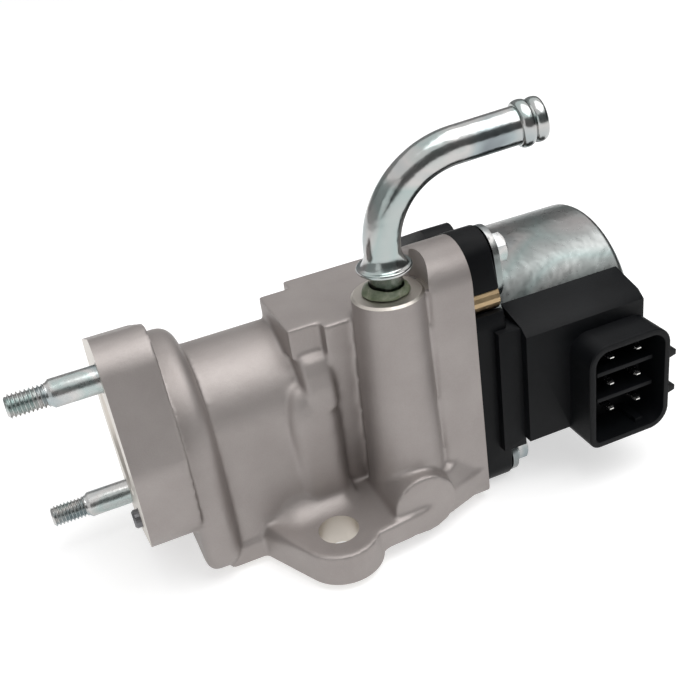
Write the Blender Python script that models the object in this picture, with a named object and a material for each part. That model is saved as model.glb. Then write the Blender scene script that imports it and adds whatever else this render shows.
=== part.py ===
"""Exhaust gas recirculation valve with a coolant pipe and a stepper motor actuator.

Metres, +Z up. The origin is the centre of the inlet face: +X runs along the valve stem
towards the motor, +Y points away from the pipe side and the base plate is underneath.
"""

import math

import bmesh
import bpy
from mathutils import Vector

# Clearances and shared fineness
FIT_GAP = 0.0003
STEM_CLEARANCE = 0.00006
CUT_OVERRUN = 0.004
ROUND_STEPS = 32
SMALL_STEPS = 20
PIN_STEPS = 16
HEXAGON_SIDES = 6
OUTLINE_STEPS = 40
ROUNDING_STEPS = 3
BEND_SEARCH_STEPS = 60
BEND_MIN_ANGLE = 0.1
MIN_RADIUS = 0.0002
SMALL_EDGE_SHARE = 0.5
SHARP_ANGLE_DEG = 32.0

# Motor can and the three screws round it: plate, housing and base follow these
CAN_RADIUS = 0.0260
CAN_WALL = 0.0008
CAN_RIM_WIDTH = 0.0012
CAN_RIM_RADIUS = CAN_RADIUS + CAN_RIM_WIDTH
UPPER_SCREW_INSET = 0.0105
UPPER_SCREW_RISE = 0.0035
LOWER_SCREW_INSET = 0.0045
LOWER_SCREW_DROP = 0.0055
REAR_SCREW_REACH = 0.0070
UPPER_SCREW_Y = UPPER_SCREW_INSET - CAN_RADIUS
UPPER_SCREW_Z = CAN_RADIUS + UPPER_SCREW_RISE
LOWER_SCREW_Y = LOWER_SCREW_INSET - CAN_RADIUS
LOWER_SCREW_Z = -CAN_RADIUS - LOWER_SCREW_DROP
REAR_SCREW_Y = CAN_RADIUS + REAR_SCREW_REACH
REAR_SCREW_Z = 0.0020
PLATE_FOOT_MARGIN = 0.0045
BASE_Z = LOWER_SCREW_Z - PLATE_FOOT_MARGIN

# Places along the stem axis that follow the length of the body
PLATE_END_X = 0.0930
PLATE_THICKNESS = 0.0115
PLATE_START_X = PLATE_END_X - PLATE_THICKNESS
OUTLET_TO_PLATE = 0.0245
OUTLET_X = PLATE_START_X - OUTLET_TO_PLATE
OUTLET_BORE_SHIFT = 0.0050
OUTLET_BORE_X = OUTLET_X - OUTLET_BORE_SHIFT

# Inlet flange and its collar
FLANGE_THICKNESS = 0.0137
FLANGE_EDGE_ROUND = 0.0012
STUD_Y = -0.0131
STUD_Z = 0.0263
STUD_LOBE_RADIUS = 0.0098
FLANGE_SIDE_HIGH_Y = -0.0178
FLANGE_SIDE_HIGH_Z = 0.0040
FLANGE_SIDE_HIGH_RADIUS = 0.0125
FLANGE_SIDE_LOW_Y = -0.0160
FLANGE_SIDE_LOW_Z = -0.0100
FLANGE_SIDE_LOW_RADIUS = 0.0120
COLLAR_END_X = 0.0225
COLLAR_RADIUS = 0.0252
COLLAR_ROUND = 0.0045
COLLAR_FRONT_ROUND = 0.0030
COLLAR_FRONT_INSET = 0.0034
COLLAR_FOOT_HALF_WIDTH = 0.0262
COLLAR_FOOT_RADIUS = 0.0078

# Gas passage
INLET_BORE_RADIUS = 0.0140
SEAT_LEDGE_TO_OUTLET = 0.0160
INLET_BORE_END_X = OUTLET_BORE_X - SEAT_LEDGE_TO_OUTLET
INLET_CHAMFER = 0.0015
LEDGE_RADIUS = 0.0110
LEDGE_THICKNESS = 0.0020
CHAMBER_RADIUS = 0.0125
SPRING_CHAMBER_DEPTH = 0.0170
GUIDE_WALL_END_X = PLATE_END_X - SPRING_CHAMBER_DEPTH
GUIDE_WALL_THICKNESS = 0.0140
CHAMBER_END_X = GUIDE_WALL_END_X - GUIDE_WALL_THICKNESS
OUTLET_BORE_RADIUS = 0.0115
GUIDE_BORE_RADIUS = 0.0055
SEAL_POCKET_RADIUS = 0.0063
SEAL_POCKET_DEPTH = 0.0030
SPRING_CHAMBER_RADIUS = 0.0135

# Barrel, outlet duct, pad and ribs
BARREL_RADIUS = 0.0192
BARREL_FOOT_HALF_WIDTH = 0.0218
BARREL_STEP_BACK = 0.0080
BARREL_STEP_X = OUTLET_X - BARREL_STEP_BACK
WAIST_RADIUS = 0.0178
WAIST_END_BACK = 0.0020
WAIST_END_X = OUTLET_X - WAIST_END_BACK
REAR_BARREL_RADIUS = 0.0186
REAR_BARREL_FOOT_HALF_WIDTH = 0.0165
DUCT_BACK = 0.0090
DUCT_X = OUTLET_X - DUCT_BACK
DUCT_SIDE_Y = 0.0090
DUCT_RADIUS = 0.0130
DUCT_TOP_Z = 0.0020
DUCT_TOP_ROUND = 0.0050
PAD_START_BACK = 0.0100
PAD_START_X = OUTLET_X - PAD_START_BACK
PAD_TOP_Z = 0.0250
PAD_BLOCK_LENGTH = 0.0090
PAD_BLOCK_END_X = PAD_START_X + PAD_BLOCK_LENGTH
PAD_NEAR_Y = -0.0168
PAD_REAR_NEAR_Y = -0.0203
PAD_FAR_Y = 0.0066
PAD_REAR_FAR_Y = 0.0113
PAD_BLOCK_BOTTOM_Z = 0.0165
PAD_SIDE_SLOPE_DEG = 6.0
RIB_TO_BLOCK = 0.0008
RIB_START_X = PAD_BLOCK_END_X + RIB_TO_BLOCK
RIB_WIDTH = 0.0022
RIB_NEAR_Y = -0.0215

# Base plate, ears and the mounting face
BASE_THICKNESS = 0.0090
BASE_MIDDLE_Z = BASE_Z + BASE_THICKNESS * 0.5
BASE_RECESS = 0.0020
PAD_FACE_BACK = 0.0190
PAD_FACE_START_X = OUTLET_X - PAD_FACE_BACK
PAD_FACE_HALF_WIDTH = 0.0250
EAR_RADIUS = 0.0112
EAR_WEB_RADIUS = 0.0076
EAR_HOLE_RADIUS = 0.0054
NEAR_EAR_BACK = 0.0102
NEAR_EAR_X = OUTLET_X - NEAR_EAR_BACK
NEAR_EAR_Y = -0.0336
FAR_EAR_FORWARD = 0.0030
FAR_EAR_X = OUTLET_X + FAR_EAR_FORWARD
FAR_EAR_Y = 0.0336
BASE_START_X = 0.0275
STRIP_START_X = 0.0190
BASE_HALF_WIDTH = 0.0218
BASE_CORNER_RADIUS = 0.0020

# Coolant pipe boss and plug boss
BOSS_TO_PLATE = 0.0090
BOSS_X = PLATE_START_X - BOSS_TO_PLATE
BOSS_Y = -0.0235
BOSS_TOP_Z = 0.0313
BOSS_TOP_RADIUS = 0.0093
BOSS_FOOT_RADIUS = 0.0120
BOSS_EDGE_ROUND = 0.0006
COOLANT_BORE_RADIUS = 0.0026
PIPE_SEAT_Z = 0.0200
PLUG_BACK = 0.0019
PLUG_X = BOSS_X - PLUG_BACK
PLUG_Z = -0.0242
PLUG_RADIUS = 0.0090
PLUG_NEAR_Y = -0.0380

# Actuator plate and its three screws
PLATE_CORNER_RADIUS = 0.0105
PLATE_TOP_INSET_Y = 0.0040
PLATE_TOP_INSET_Z = 0.0012
PLATE_TOP_Y = UPPER_SCREW_Y - PLATE_TOP_INSET_Y
PLATE_TOP_Z = UPPER_SCREW_Z - PLATE_TOP_INSET_Z
PLATE_ROUND_MARGIN = 0.0005
PLATE_ROUND_RADIUS = CAN_RADIUS + PLATE_ROUND_MARGIN
PLATE_FOOT_HALF_WIDTH = 0.0295
SLEEVE_INSET = 0.0035
SLEEVE_Y = SLEEVE_INSET - CAN_RADIUS
SLEEVE_Z = 0.0205
REAR_EAR_RADIUS = 0.0082
SEAL_GROOVE_RADIUS = 0.0184
SEAL_GROOVE_WIDTH = 0.0026
SEAL_GROOVE_DEPTH = 0.0018

# Studs and dowel
STUD_SHANK_RADIUS = 0.0036
STUD_THREAD_RADIUS = 0.0030
STUD_LENGTH = 0.0223
STUD_THREAD_LENGTH = 0.0100
STUD_DEPTH = 0.0117
STUD_CHAMFER = 0.0007
DOWEL_RADIUS = 0.0026
DOWEL_Y = -0.0085
DOWEL_Z = -0.0205
DOWEL_STAND = 0.0019
DOWEL_DEPTH = 0.0050
DOWEL_CHAMFER = 0.0005

# Coolant pipe
PIPE_RADIUS = 0.0047
PIPE_BORE_RADIUS = 0.0024
PIPE_NECK_RADIUS = 0.0042
PIPE_COLLAR_RADIUS = 0.0071
PIPE_COLLAR_START_Z = 0.0376
PIPE_COLLAR_END_Z = 0.0389
PIPE_FLARE_END_Z = 0.0420
PIPE_BEND_START_Z = 0.0428
PIPE_BEND_RADIUS = 0.0225
PIPE_REACH_X = 0.0417
PIPE_END_X = BOSS_X + PIPE_REACH_X
PIPE_REACH_Y = 0.0065
PIPE_END_Y = BOSS_Y - PIPE_REACH_Y
PIPE_END_Z = 0.0674
PIPE_BEAD_RADIUS = 0.0058
PIPE_BEAD_LENGTH = 0.0034
PIPE_BEAD_TO_END = 0.0032
PIPE_LIP_RADIUS = 0.0055
PIPE_BEND_STEPS = 10
COLLAR_EDGE_SHARE = 0.85
FLARE_HEIGHT_SHARES = (0.22, 0.55)
FLARE_RADIUS_SHARES = (0.42, 0.12)
BEAD_SHARES = (0.3, 0.5, 0.85)
SEALANT_RADIUS = 0.0076
SEALANT_HEIGHT = 0.0024
SEALANT_SHARES = (0.3, 0.8)
SEALANT_SLOPE_SHARES = (0.25, 0.5)

# Seat, pintle, bush, seal, spring
SEAT_LENGTH = 0.0043
SEAT_START_X = INLET_BORE_END_X - SEAT_LENGTH
SEAT_BORE_RADIUS = 0.0095
SEAT_CONE = 0.0020
PINTLE_HEAD_RADIUS = 0.0112
PINTLE_HEAD_BEFORE_SEAT = 0.0047
PINTLE_HEAD_START_X = SEAT_START_X - PINTLE_HEAD_BEFORE_SEAT
PINTLE_HEAD_THICKNESS = 0.0038
PINTLE_HEAD_RIM_X = PINTLE_HEAD_START_X + PINTLE_HEAD_THICKNESS
PINTLE_CONE_LENGTH = 0.0026
PINTLE_HEAD_BACK_X = PINTLE_HEAD_RIM_X + PINTLE_CONE_LENGTH
PINTLE_CONE_RADIUS = 0.0086
PINTLE_NECK_LENGTH = 0.0046
PINTLE_NECK_X = PINTLE_HEAD_BACK_X + PINTLE_NECK_LENGTH
STEM_RADIUS = 0.0030
STEM_STAND = 0.0015
STEM_END_X = PLATE_END_X + STEM_STAND
BUSH_START_X = CHAMBER_END_X + FIT_GAP
SEAL_RADIUS_SHARE = 0.5
SPRING_RADIUS = 0.0095
SPRING_WIRE_RADIUS = 0.0007
SPRING_TURNS = 5
SPRING_STEPS = 13
SPRING_WIRE_STEPS = 6
RETAINER_DEPTH = 0.0030
RETAINER_START_X = PLATE_END_X - RETAINER_DEPTH
RETAINER_THICKNESS = 0.0018
RETAINER_RADIUS = 0.0113

# Actuator housing
HOUSING_FLANGE_THICKNESS = 0.0100
HOUSING_FLANGE_END_X = PLATE_END_X + HOUSING_FLANGE_THICKNESS
HOUSING_CORNER_RADIUS = 0.0080
HOUSING_SIDE_INSET = 0.0055
HOUSING_SIDE_Y = HOUSING_SIDE_INSET - CAN_RADIUS
HOUSING_SIDE_Z = 0.0130
HOUSING_CREST_Y = -0.0005
HOUSING_CREST_RISE = 0.0030
HOUSING_CREST_Z = CAN_RADIUS + HOUSING_CREST_RISE
HOUSING_CREST_RADIUS = 0.0042
HOUSING_SHOULDER_Y = 0.0175
HOUSING_SHOULDER_DROP = 0.0075
HOUSING_SHOULDER_Z = CAN_RADIUS - HOUSING_SHOULDER_DROP
HOUSING_SHOULDER_RADIUS = 0.0054
HOUSING_ROUND_INSET = 0.0006
HOUSING_ROUND_RADIUS = CAN_RADIUS - HOUSING_ROUND_INSET
HOUSING_LOWER_EAR_RADIUS = 0.0066
HOUSING_REAR_EAR_RADIUS = 0.0078
SPIGOT_RADIUS = 0.0132
SPIGOT_WALL = 0.0013
SPIGOT_LENGTH = 0.0050
SPIGOT_START_X = PLATE_END_X - SPIGOT_LENGTH
SCREW_PASSAGE_RADIUS = 0.0038
STEP_LENGTH = 0.0026
STEP_END_X = HOUSING_FLANGE_END_X + STEP_LENGTH
STEP_REACH = 0.0048
STEP_NEAR_Y = -CAN_RADIUS - STEP_REACH
STEP_TOP_Z = 0.0128
STEP_BOTTOM_Z = -0.0247
BLOCK_LENGTH = 0.0369
BLOCK_END_X = STEP_END_X + BLOCK_LENGTH
BLOCK_REACH = 0.0075
BLOCK_NEAR_Y = -CAN_RADIUS - BLOCK_REACH
BLOCK_TOP_Z = 0.0110
BLOCK_RIDGE_SETBACK = 0.0025
BLOCK_RIDGE_Y = BLOCK_NEAR_Y + BLOCK_RIDGE_SETBACK
BLOCK_RIDGE_Z = 0.0130
BLOCK_BACK_INSET = 0.0070
BLOCK_BACK_Y = BLOCK_BACK_INSET - CAN_RADIUS
BLOCK_BACK_Z = 0.0163
BLOCK_BOTTOM_Z = -0.0222
BLOCK_FOOT_Y = -0.0120
NOTCH_BOTTOM_Z = 0.0176
NOTCH_TOP_Z = 0.0234
SHROUD_SETBACK = 0.0130
SHROUD_START_X = STEP_END_X + SHROUD_SETBACK
SHROUD_WIDTH = 0.0257
SHROUD_END_X = SHROUD_START_X + SHROUD_WIDTH
SHROUD_BOTTOM_Z = -0.0250
SHROUD_TOP_Z = 0.0070
SHROUD_CLEARANCE = 0.0040
SHROUD_DEPTH = 0.0130
SHROUD_BACK_Y = -CAN_RADIUS - SHROUD_CLEARANCE
SHROUD_NEAR_Y = SHROUD_BACK_Y - SHROUD_DEPTH
SHROUD_WALL = 0.0018
SHROUD_CORNER_RADIUS = 0.0060
SHROUD_SMALL_CORNER_RADIUS = 0.0035
SOCKET_FLOOR_THICKNESS = 0.0020
SOCKET_FLOOR_Y = SHROUD_BACK_Y - SOCKET_FLOOR_THICKNESS
SHELF_THICKNESS = 0.0012
SHELF_INSET = 0.0040
SHELF_SETBACK = 0.0025
SHELF_NEAR_Y = SHROUD_NEAR_Y + SHELF_SETBACK
LUG_LENGTH = 0.0020
LUG_HEIGHT = 0.0030
LUG_DEPTH = 0.0050
LUG_TIP_SHARE = 0.25
UPPER_LUG_Z = -0.0026
LOWER_LUG_Z = -0.0140
KEY_PLACE = 0.0166
KEY_X = SHROUD_START_X + KEY_PLACE
KEY_WIDTH = 0.0024
KEY_HEIGHT = 0.0014

# Connector pins
PIN_LEFT_PLACE = 0.0087
PIN_PITCH_X = 0.0086
PIN_LEFT_X = SHROUD_START_X + PIN_LEFT_PLACE
PIN_RIGHT_X = PIN_LEFT_X + PIN_PITCH_X
PIN_TOP_Z = 0.0010
PIN_PITCH_Z = 0.0082
PIN_WIDTH = 0.0020
PIN_THICKNESS = 0.0008
PIN_SETBACK = 0.0025
PIN_ROOT_DEPTH = 0.0035
PIN_TIP_Y = SHROUD_NEAR_Y + PIN_SETBACK
PIN_ROOT_Y = SOCKET_FLOOR_Y + PIN_ROOT_DEPTH
PIN_TIP_SHARES = (0.6, 0.4)
PIN_ROWS = 3
SHELF_PITCH_SHARES = (0.5, 1.5)

# Screws and bushes
SCREW_RADIUS = 0.0022
SCREW_HEAD_RADIUS = 0.0045
SCREW_HEAD_LENGTH = 0.0036
SCREW_HEAD_CHAMFER = 0.0006
SCREW_WASHER_RADIUS = 0.0050
SCREW_WASHER_THICKNESS = 0.0008
SCREW_TIP_CHAMFER = 0.0004
SCREW_DEPTH = 0.0085
SLEEVE_RADIUS = 0.0038
SLEEVE_WALL = 0.0010
MOUNTING_BUSH_RADIUS = 0.0040
MOUNTING_BUSH_BORE_RADIUS = 0.0026

# Motor
CAN_START_X = HOUSING_FLANGE_END_X + FIT_GAP
CAN_LENGTH = 0.0420
CAN_END_X = CAN_START_X + CAN_LENGTH
CAN_ROUND = 0.0022
CAN_FLANGE_THICKNESS = 0.0018
CAN_EAR_SETBACK = 0.0004
CAN_EAR_STEP = 0.0001
EAR_ROOT_UPPER_SHIFT_Y = 0.0020
EAR_ROOT_UPPER_Y = UPPER_SCREW_Y - EAR_ROOT_UPPER_SHIFT_Y
EAR_ROOT_UPPER_SHIFT_Z = 0.0055
EAR_ROOT_UPPER_Z = UPPER_SCREW_Z - EAR_ROOT_UPPER_SHIFT_Z
EAR_ROOT_RADIUS = 0.0066
EAR_ROOT_LOWER_Y = -0.0040
EAR_ROOT_LOWER_DROP = 0.0013
EAR_ROOT_LOWER_Z = -CAN_RADIUS - EAR_ROOT_LOWER_DROP
EAR_ROOT_LOWER_RADIUS = 0.0018
EAR_ROOT_REAR_INSET = 0.0065
EAR_ROOT_REAR_Y = CAN_RADIUS - EAR_ROOT_REAR_INSET
CAN_CUP_RADIUS = 0.0095
CAN_CUP_HEIGHT = 0.0030
CAN_CUP_ROUND = 0.0012
STATOR_PLACE = 0.0037
STATOR_LENGTH = 0.0330
STATOR_START_X = CAN_START_X + STATOR_PLACE
STATOR_END_X = STATOR_START_X + STATOR_LENGTH
STATOR_BORE_RADIUS = 0.0122
STATOR_SLOT_DEPTH = 0.0028
STATOR_SLOT_RADIUS = CAN_RADIUS - STATOR_SLOT_DEPTH
STATOR_SLOT_WIDTH = 0.0015
ROTOR_PLACE = 0.0047
ROTOR_LENGTH = 0.0305
ROTOR_START_X = CAN_START_X + ROTOR_PLACE
ROTOR_END_X = ROTOR_START_X + ROTOR_LENGTH
ROTOR_RADIUS = 0.0116
ROTOR_JOURNAL_RADIUS = 0.0050
ROTOR_BORE_RADIUS = 0.0034
LEAD_SCREW_RADIUS = 0.0030
LEAD_SCREW_GAP = 0.0004
LEAD_SCREW_LENGTH = 0.0381
LEAD_SCREW_START_X = STEM_END_X + LEAD_SCREW_GAP
LEAD_SCREW_END_X = LEAD_SCREW_START_X + LEAD_SCREW_LENGTH
BEARING_RADIUS = 0.0083
BEARING_POCKET_DEPTH = 0.0024
BEARING_FRONT_X = HOUSING_FLANGE_END_X - BEARING_POCKET_DEPTH
BEARING_THICKNESS = 0.0028


def clear_scene():
    for existing in list(bpy.data.objects):
        bpy.data.objects.remove(existing, do_unlink=True)


def make_material(name, colour, roughness, metallic):
    material = bpy.data.materials.new(name)
    material.use_nodes = True
    shader = material.node_tree.nodes["Principled BSDF"]
    shader.inputs["Base Color"].default_value = (*colour, 1.0)
    shader.inputs["Roughness"].default_value = roughness
    shader.inputs["Metallic"].default_value = metallic
    return material


def make_object(name, points, faces, material=None):
    """A mesh object from points and faces, with its faces turned outwards."""
    mesh = bpy.data.meshes.new(name)
    mesh.from_pydata([tuple(point) for point in points], [], faces)
    work = bmesh.new()
    work.from_mesh(mesh)
    bmesh.ops.recalc_face_normals(work, faces=work.faces)
    work.to_mesh(mesh)
    work.free()
    item = bpy.data.objects.new(name, mesh)
    bpy.context.scene.collection.objects.link(item)
    if material is not None:
        mesh.materials.append(material)
    return item


def combine(target, tools, operation):
    """Join the tools to the target, or cut them from it, and remove the tools."""
    for tool in tools:
        step = target.modifiers.new("step", "BOOLEAN")
        step.operation = operation
        step.solver = "EXACT"
        step.object = tool
        graph = bpy.context.evaluated_depsgraph_get()
        shaped = bpy.data.meshes.new_from_object(target.evaluated_get(graph))
        target.modifiers.clear()
        target.data = shaped
        bpy.data.objects.remove(tool, do_unlink=True)
    return target


def join_pieces(target, tools):
    return combine(target, tools, "UNION")


def cut_pieces(target, tools):
    return combine(target, tools, "DIFFERENCE")


def bridge_rings(rings, closed=False):
    """Quads between rings of equal length, with end caps unless the rings close on themselves."""
    count = len(rings[0])
    points = [point for ring in rings for point in ring]
    faces = []
    spans = len(rings) if closed else len(rings) - 1
    for span in range(spans):
        first = span * count
        second = ((span + 1) % len(rings)) * count
        for index in range(count):
            following = (index + 1) % count
            faces.append((first + index, first + following, second + following, second + index))
    if not closed:
        faces.append(tuple(range(count)))
        faces.append(tuple(range(len(points) - count, len(points))))
    return points, faces


def hull_outline(circles, steps=OUTLINE_STEPS, inset=0.0):
    """The rounded outline that a band would take round a set of circles (centre, centre, radius)."""
    outline = []
    for step in range(steps):
        angle = 2.0 * math.pi * (step + 0.5) / steps
        along = math.cos(angle)
        across = math.sin(angle)
        best = max(circles, key=lambda disc: disc[0] * along + disc[1] * across + disc[2])
        reach = max(best[2] - inset, MIN_RADIUS)
        outline.append((best[0] + reach * along, best[1] + reach * across))
    return outline


def loft_x(name, sections, material=None):
    """A solid through Y and Z outlines, each given with its X."""
    rings = [[(x, y, z) for y, z in outline] for x, outline in sections]
    points, faces = bridge_rings(rings)
    return make_object(name, points, faces, material)


def loft_z(name, sections, material=None):
    """A solid through X and Y outlines, each given with its Z."""
    rings = [[(x, y, z) for x, y in outline] for z, outline in sections]
    points, faces = bridge_rings(rings)
    return make_object(name, points, faces, material)


def loft_y(name, sections, material=None):
    """A solid through X and Z outlines, each given with its Y."""
    rings = [[(x, y, z) for x, z in outline] for y, outline in sections]
    points, faces = bridge_rings(rings)
    return make_object(name, points, faces, material)


def box(name, low, high, material=None):
    """A box between two opposite corners."""
    outline = [(low[1], low[2]), (high[1], low[2]), (high[1], high[2]), (low[1], high[2])]
    return loft_x(name, [(low[0], outline), (high[0], outline)], material)


def turned(name, profile, centre, axis, steps, material=None, ring=False):
    """A turned solid. The profile is (distance along the axis, radius)."""
    direction = Vector(axis).normalized()
    turn = direction.to_track_quat("Z", "Y").to_matrix()
    start = Vector(centre)
    rings = []
    for along, radius in profile:
        circle = []
        for step in range(steps):
            angle = 2.0 * math.pi * (step + 0.5) / steps
            offset = turn @ Vector((radius * math.cos(angle), radius * math.sin(angle), 0.0))
            circle.append(start + direction * along + offset)
        rings.append(circle)
    points, faces = bridge_rings(rings, closed=ring)
    return make_object(name, points, faces, material)


def turned_x(name, profile, y, z, steps, material=None, ring=False):
    return turned(name, profile, (0.0, y, z), (1.0, 0.0, 0.0), steps, material, ring)


def turned_z(name, profile, x, y, steps, material=None, ring=False):
    return turned(name, profile, (x, y, 0.0), (0.0, 0.0, 1.0), steps, material, ring)


def mirrored(circles):
    """The circles and their copies turned half a turn about the stem axis."""
    return circles + [(-y, -z, radius) for y, z, radius in circles]


def flange_circles():
    return mirrored([
        (STUD_Y, STUD_Z, STUD_LOBE_RADIUS),
        (FLANGE_SIDE_HIGH_Y, FLANGE_SIDE_HIGH_Z, FLANGE_SIDE_HIGH_RADIUS),
        (FLANGE_SIDE_LOW_Y, FLANGE_SIDE_LOW_Z, FLANGE_SIDE_LOW_RADIUS),
    ])


def arch_circles(radius, half_width, foot_radius, foot_z):
    """A round top on straight sides that end in two small feet corners."""
    return [
        (0.0, 0.0, radius),
        (-half_width + foot_radius, foot_z + foot_radius, foot_radius),
        (half_width - foot_radius, foot_z + foot_radius, foot_radius),
    ]


def inlet_end():
    """The inlet flange with the rounded collar behind it."""
    circles = flange_circles()
    flange = loft_x("flange", [
        (0.0, hull_outline(circles, inset=FLANGE_EDGE_ROUND * SMALL_EDGE_SHARE)),
        (FLANGE_EDGE_ROUND * SMALL_EDGE_SHARE, hull_outline(circles)),
        (FLANGE_THICKNESS - FLANGE_EDGE_ROUND, hull_outline(circles)),
        (FLANGE_THICKNESS, hull_outline(circles, inset=FLANGE_EDGE_ROUND)),
    ])
    arch = arch_circles(COLLAR_RADIUS, COLLAR_FOOT_HALF_WIDTH, COLLAR_FOOT_RADIUS, BASE_Z)
    quarter = math.pi / 2.0
    front = FLANGE_THICKNESS - FLANGE_EDGE_ROUND
    sections = []
    for step in range(ROUNDING_STEPS):
        angle = quarter * step / ROUNDING_STEPS
        inset = COLLAR_FRONT_INSET * (1.0 - math.sin(angle))
        sections.append((front + COLLAR_FRONT_ROUND * (1.0 - math.cos(angle)), hull_outline(arch, inset=inset)))
    start = COLLAR_END_X - COLLAR_ROUND
    for step in range(ROUNDING_STEPS + 1):
        angle = quarter * step / ROUNDING_STEPS
        inset = COLLAR_ROUND * (1.0 - math.cos(angle))
        sections.append((start + COLLAR_ROUND * math.sin(angle), hull_outline(arch, inset=inset)))
    collar = loft_x("collar", sections)
    return flange, collar


def arch_outline(radius, half_width):
    """An arch that stands inside the base plate."""
    return hull_outline(arch_circles(radius, half_width, BASE_CORNER_RADIUS, BASE_MIDDLE_Z))


def barrel_sections():
    barrel = arch_outline(BARREL_RADIUS, BARREL_FOOT_HALF_WIDTH)
    waist = arch_outline(WAIST_RADIUS, BARREL_FOOT_HALF_WIDTH)
    rear = arch_outline(REAR_BARREL_RADIUS, REAR_BARREL_FOOT_HALF_WIDTH)
    front = loft_x("barrel", [(COLLAR_END_X - COLLAR_ROUND, barrel), (BARREL_STEP_X, barrel)])
    middle = loft_x("waist", [(BARREL_STEP_X - COLLAR_ROUND, waist), (WAIST_END_X + FIT_GAP, waist)])
    back = loft_x("rear", [(WAIST_END_X, rear), (PLATE_START_X + CUT_OVERRUN, rear)])
    return front, middle, back


def duct():
    """The upright outlet duct, which swells out of the barrel on both sides and is round at its top."""
    circles = [(DUCT_X, -DUCT_SIDE_Y, DUCT_RADIUS), (DUCT_X, DUCT_SIDE_Y, DUCT_RADIUS)]
    sections = [(BASE_MIDDLE_Z, hull_outline(circles, ROUND_STEPS))]
    for step in range(ROUNDING_STEPS + 1):
        angle = math.pi * 0.5 * step / ROUNDING_STEPS
        height = DUCT_TOP_Z - DUCT_TOP_ROUND * (1.0 - math.sin(angle))
        inset = DUCT_TOP_ROUND * (1.0 - math.cos(angle))
        sections.append((height, hull_outline(circles, ROUND_STEPS, inset)))
    return loft_z("duct", sections)


def pad_pieces():
    """The flat raised pad on top, in two widths, with the block under its near corner."""
    block = box("pad_block", (PAD_START_X, PAD_NEAR_Y, PAD_BLOCK_BOTTOM_Z),
                (PAD_BLOCK_END_X, PAD_FAR_Y, PAD_TOP_Z))
    slope = math.radians(PAD_SIDE_SLOPE_DEG)
    lean = (PAD_TOP_Z - PAD_BLOCK_BOTTOM_Z) * math.tan(slope)
    outline = [
        (PAD_BLOCK_END_X - FIT_GAP, PAD_REAR_NEAR_Y),
        (PLATE_START_X + FIT_GAP, PAD_REAR_NEAR_Y),
        (PLATE_START_X + FIT_GAP, PAD_REAR_FAR_Y),
        (PAD_BLOCK_END_X - FIT_GAP, PAD_REAR_FAR_Y),
    ]
    grown = [(x, y - lean if y < 0.0 else y + lean) for x, y in outline]
    rear = loft_z("pad_rear", [(0.0, grown), (PAD_TOP_Z, outline)])
    return block, rear


def ribs():
    """The upright rib on the near side between the pad and the pipe boss."""
    first = box("rib", (RIB_START_X, RIB_NEAR_Y, BASE_MIDDLE_Z),
                (RIB_START_X + RIB_WIDTH, 0.0, PAD_TOP_Z - FIT_GAP))
    return (first,)


def base_plate():
    """The base plate, its recessed underside left with a mounting face and a bolt ear on each side."""
    near = BASE_START_X + BASE_CORNER_RADIUS
    circles = [
        (near, -BASE_HALF_WIDTH + BASE_CORNER_RADIUS, BASE_CORNER_RADIUS),
        (near, BASE_HALF_WIDTH - BASE_CORNER_RADIUS, BASE_CORNER_RADIUS),
        (NEAR_EAR_X, NEAR_EAR_Y, EAR_WEB_RADIUS),
        (FAR_EAR_X, FAR_EAR_Y, EAR_WEB_RADIUS),
        (PLATE_END_X - BASE_CORNER_RADIUS, -PLATE_FOOT_HALF_WIDTH, BASE_CORNER_RADIUS),
        (PLATE_END_X - BASE_CORNER_RADIUS, PLATE_FOOT_HALF_WIDTH, BASE_CORNER_RADIUS),
    ]
    top = BASE_Z + BASE_THICKNESS
    recessed = BASE_Z + BASE_RECESS
    plate = loft_z("base", [
        (recessed, hull_outline(circles)),
        (top - FLANGE_EDGE_ROUND, hull_outline(circles)),
        (top, hull_outline(circles, inset=FLANGE_EDGE_ROUND)),
    ])
    strip = box("strip", (STRIP_START_X, -BASE_HALF_WIDTH, BASE_Z),
                (BASE_START_X + EAR_RADIUS, BASE_HALF_WIDTH, top - BASE_RECESS))
    near_web = ear_web("near_web", NEAR_EAR_X, NEAR_EAR_Y, -1.0, top)
    far_web = ear_web("far_web", FAR_EAR_X, FAR_EAR_Y, 1.0, top)
    face = box("mounting_face", (PAD_FACE_START_X, -PAD_FACE_HALF_WIDTH, BASE_Z),
               (PLATE_END_X - BASE_CORNER_RADIUS, PAD_FACE_HALF_WIDTH, top - BASE_RECESS))
    return plate, strip, face, near_web, far_web


def ear_web(name, x, y, side, top):
    """A bolt ear and the solid web that runs from it to the inlet end of the base."""
    circles = [
        (x, y, EAR_RADIUS),
        (BASE_START_X + BASE_CORNER_RADIUS, side * (BASE_HALF_WIDTH - BASE_CORNER_RADIUS), BASE_CORNER_RADIUS),
        (x, 0.0, EAR_RADIUS),
    ]
    return loft_z(name, [
        (BASE_Z, hull_outline(circles)),
        (top - FLANGE_EDGE_ROUND, hull_outline(circles)),
        (top, hull_outline(circles, inset=FLANGE_EDGE_ROUND)),
    ])


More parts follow.
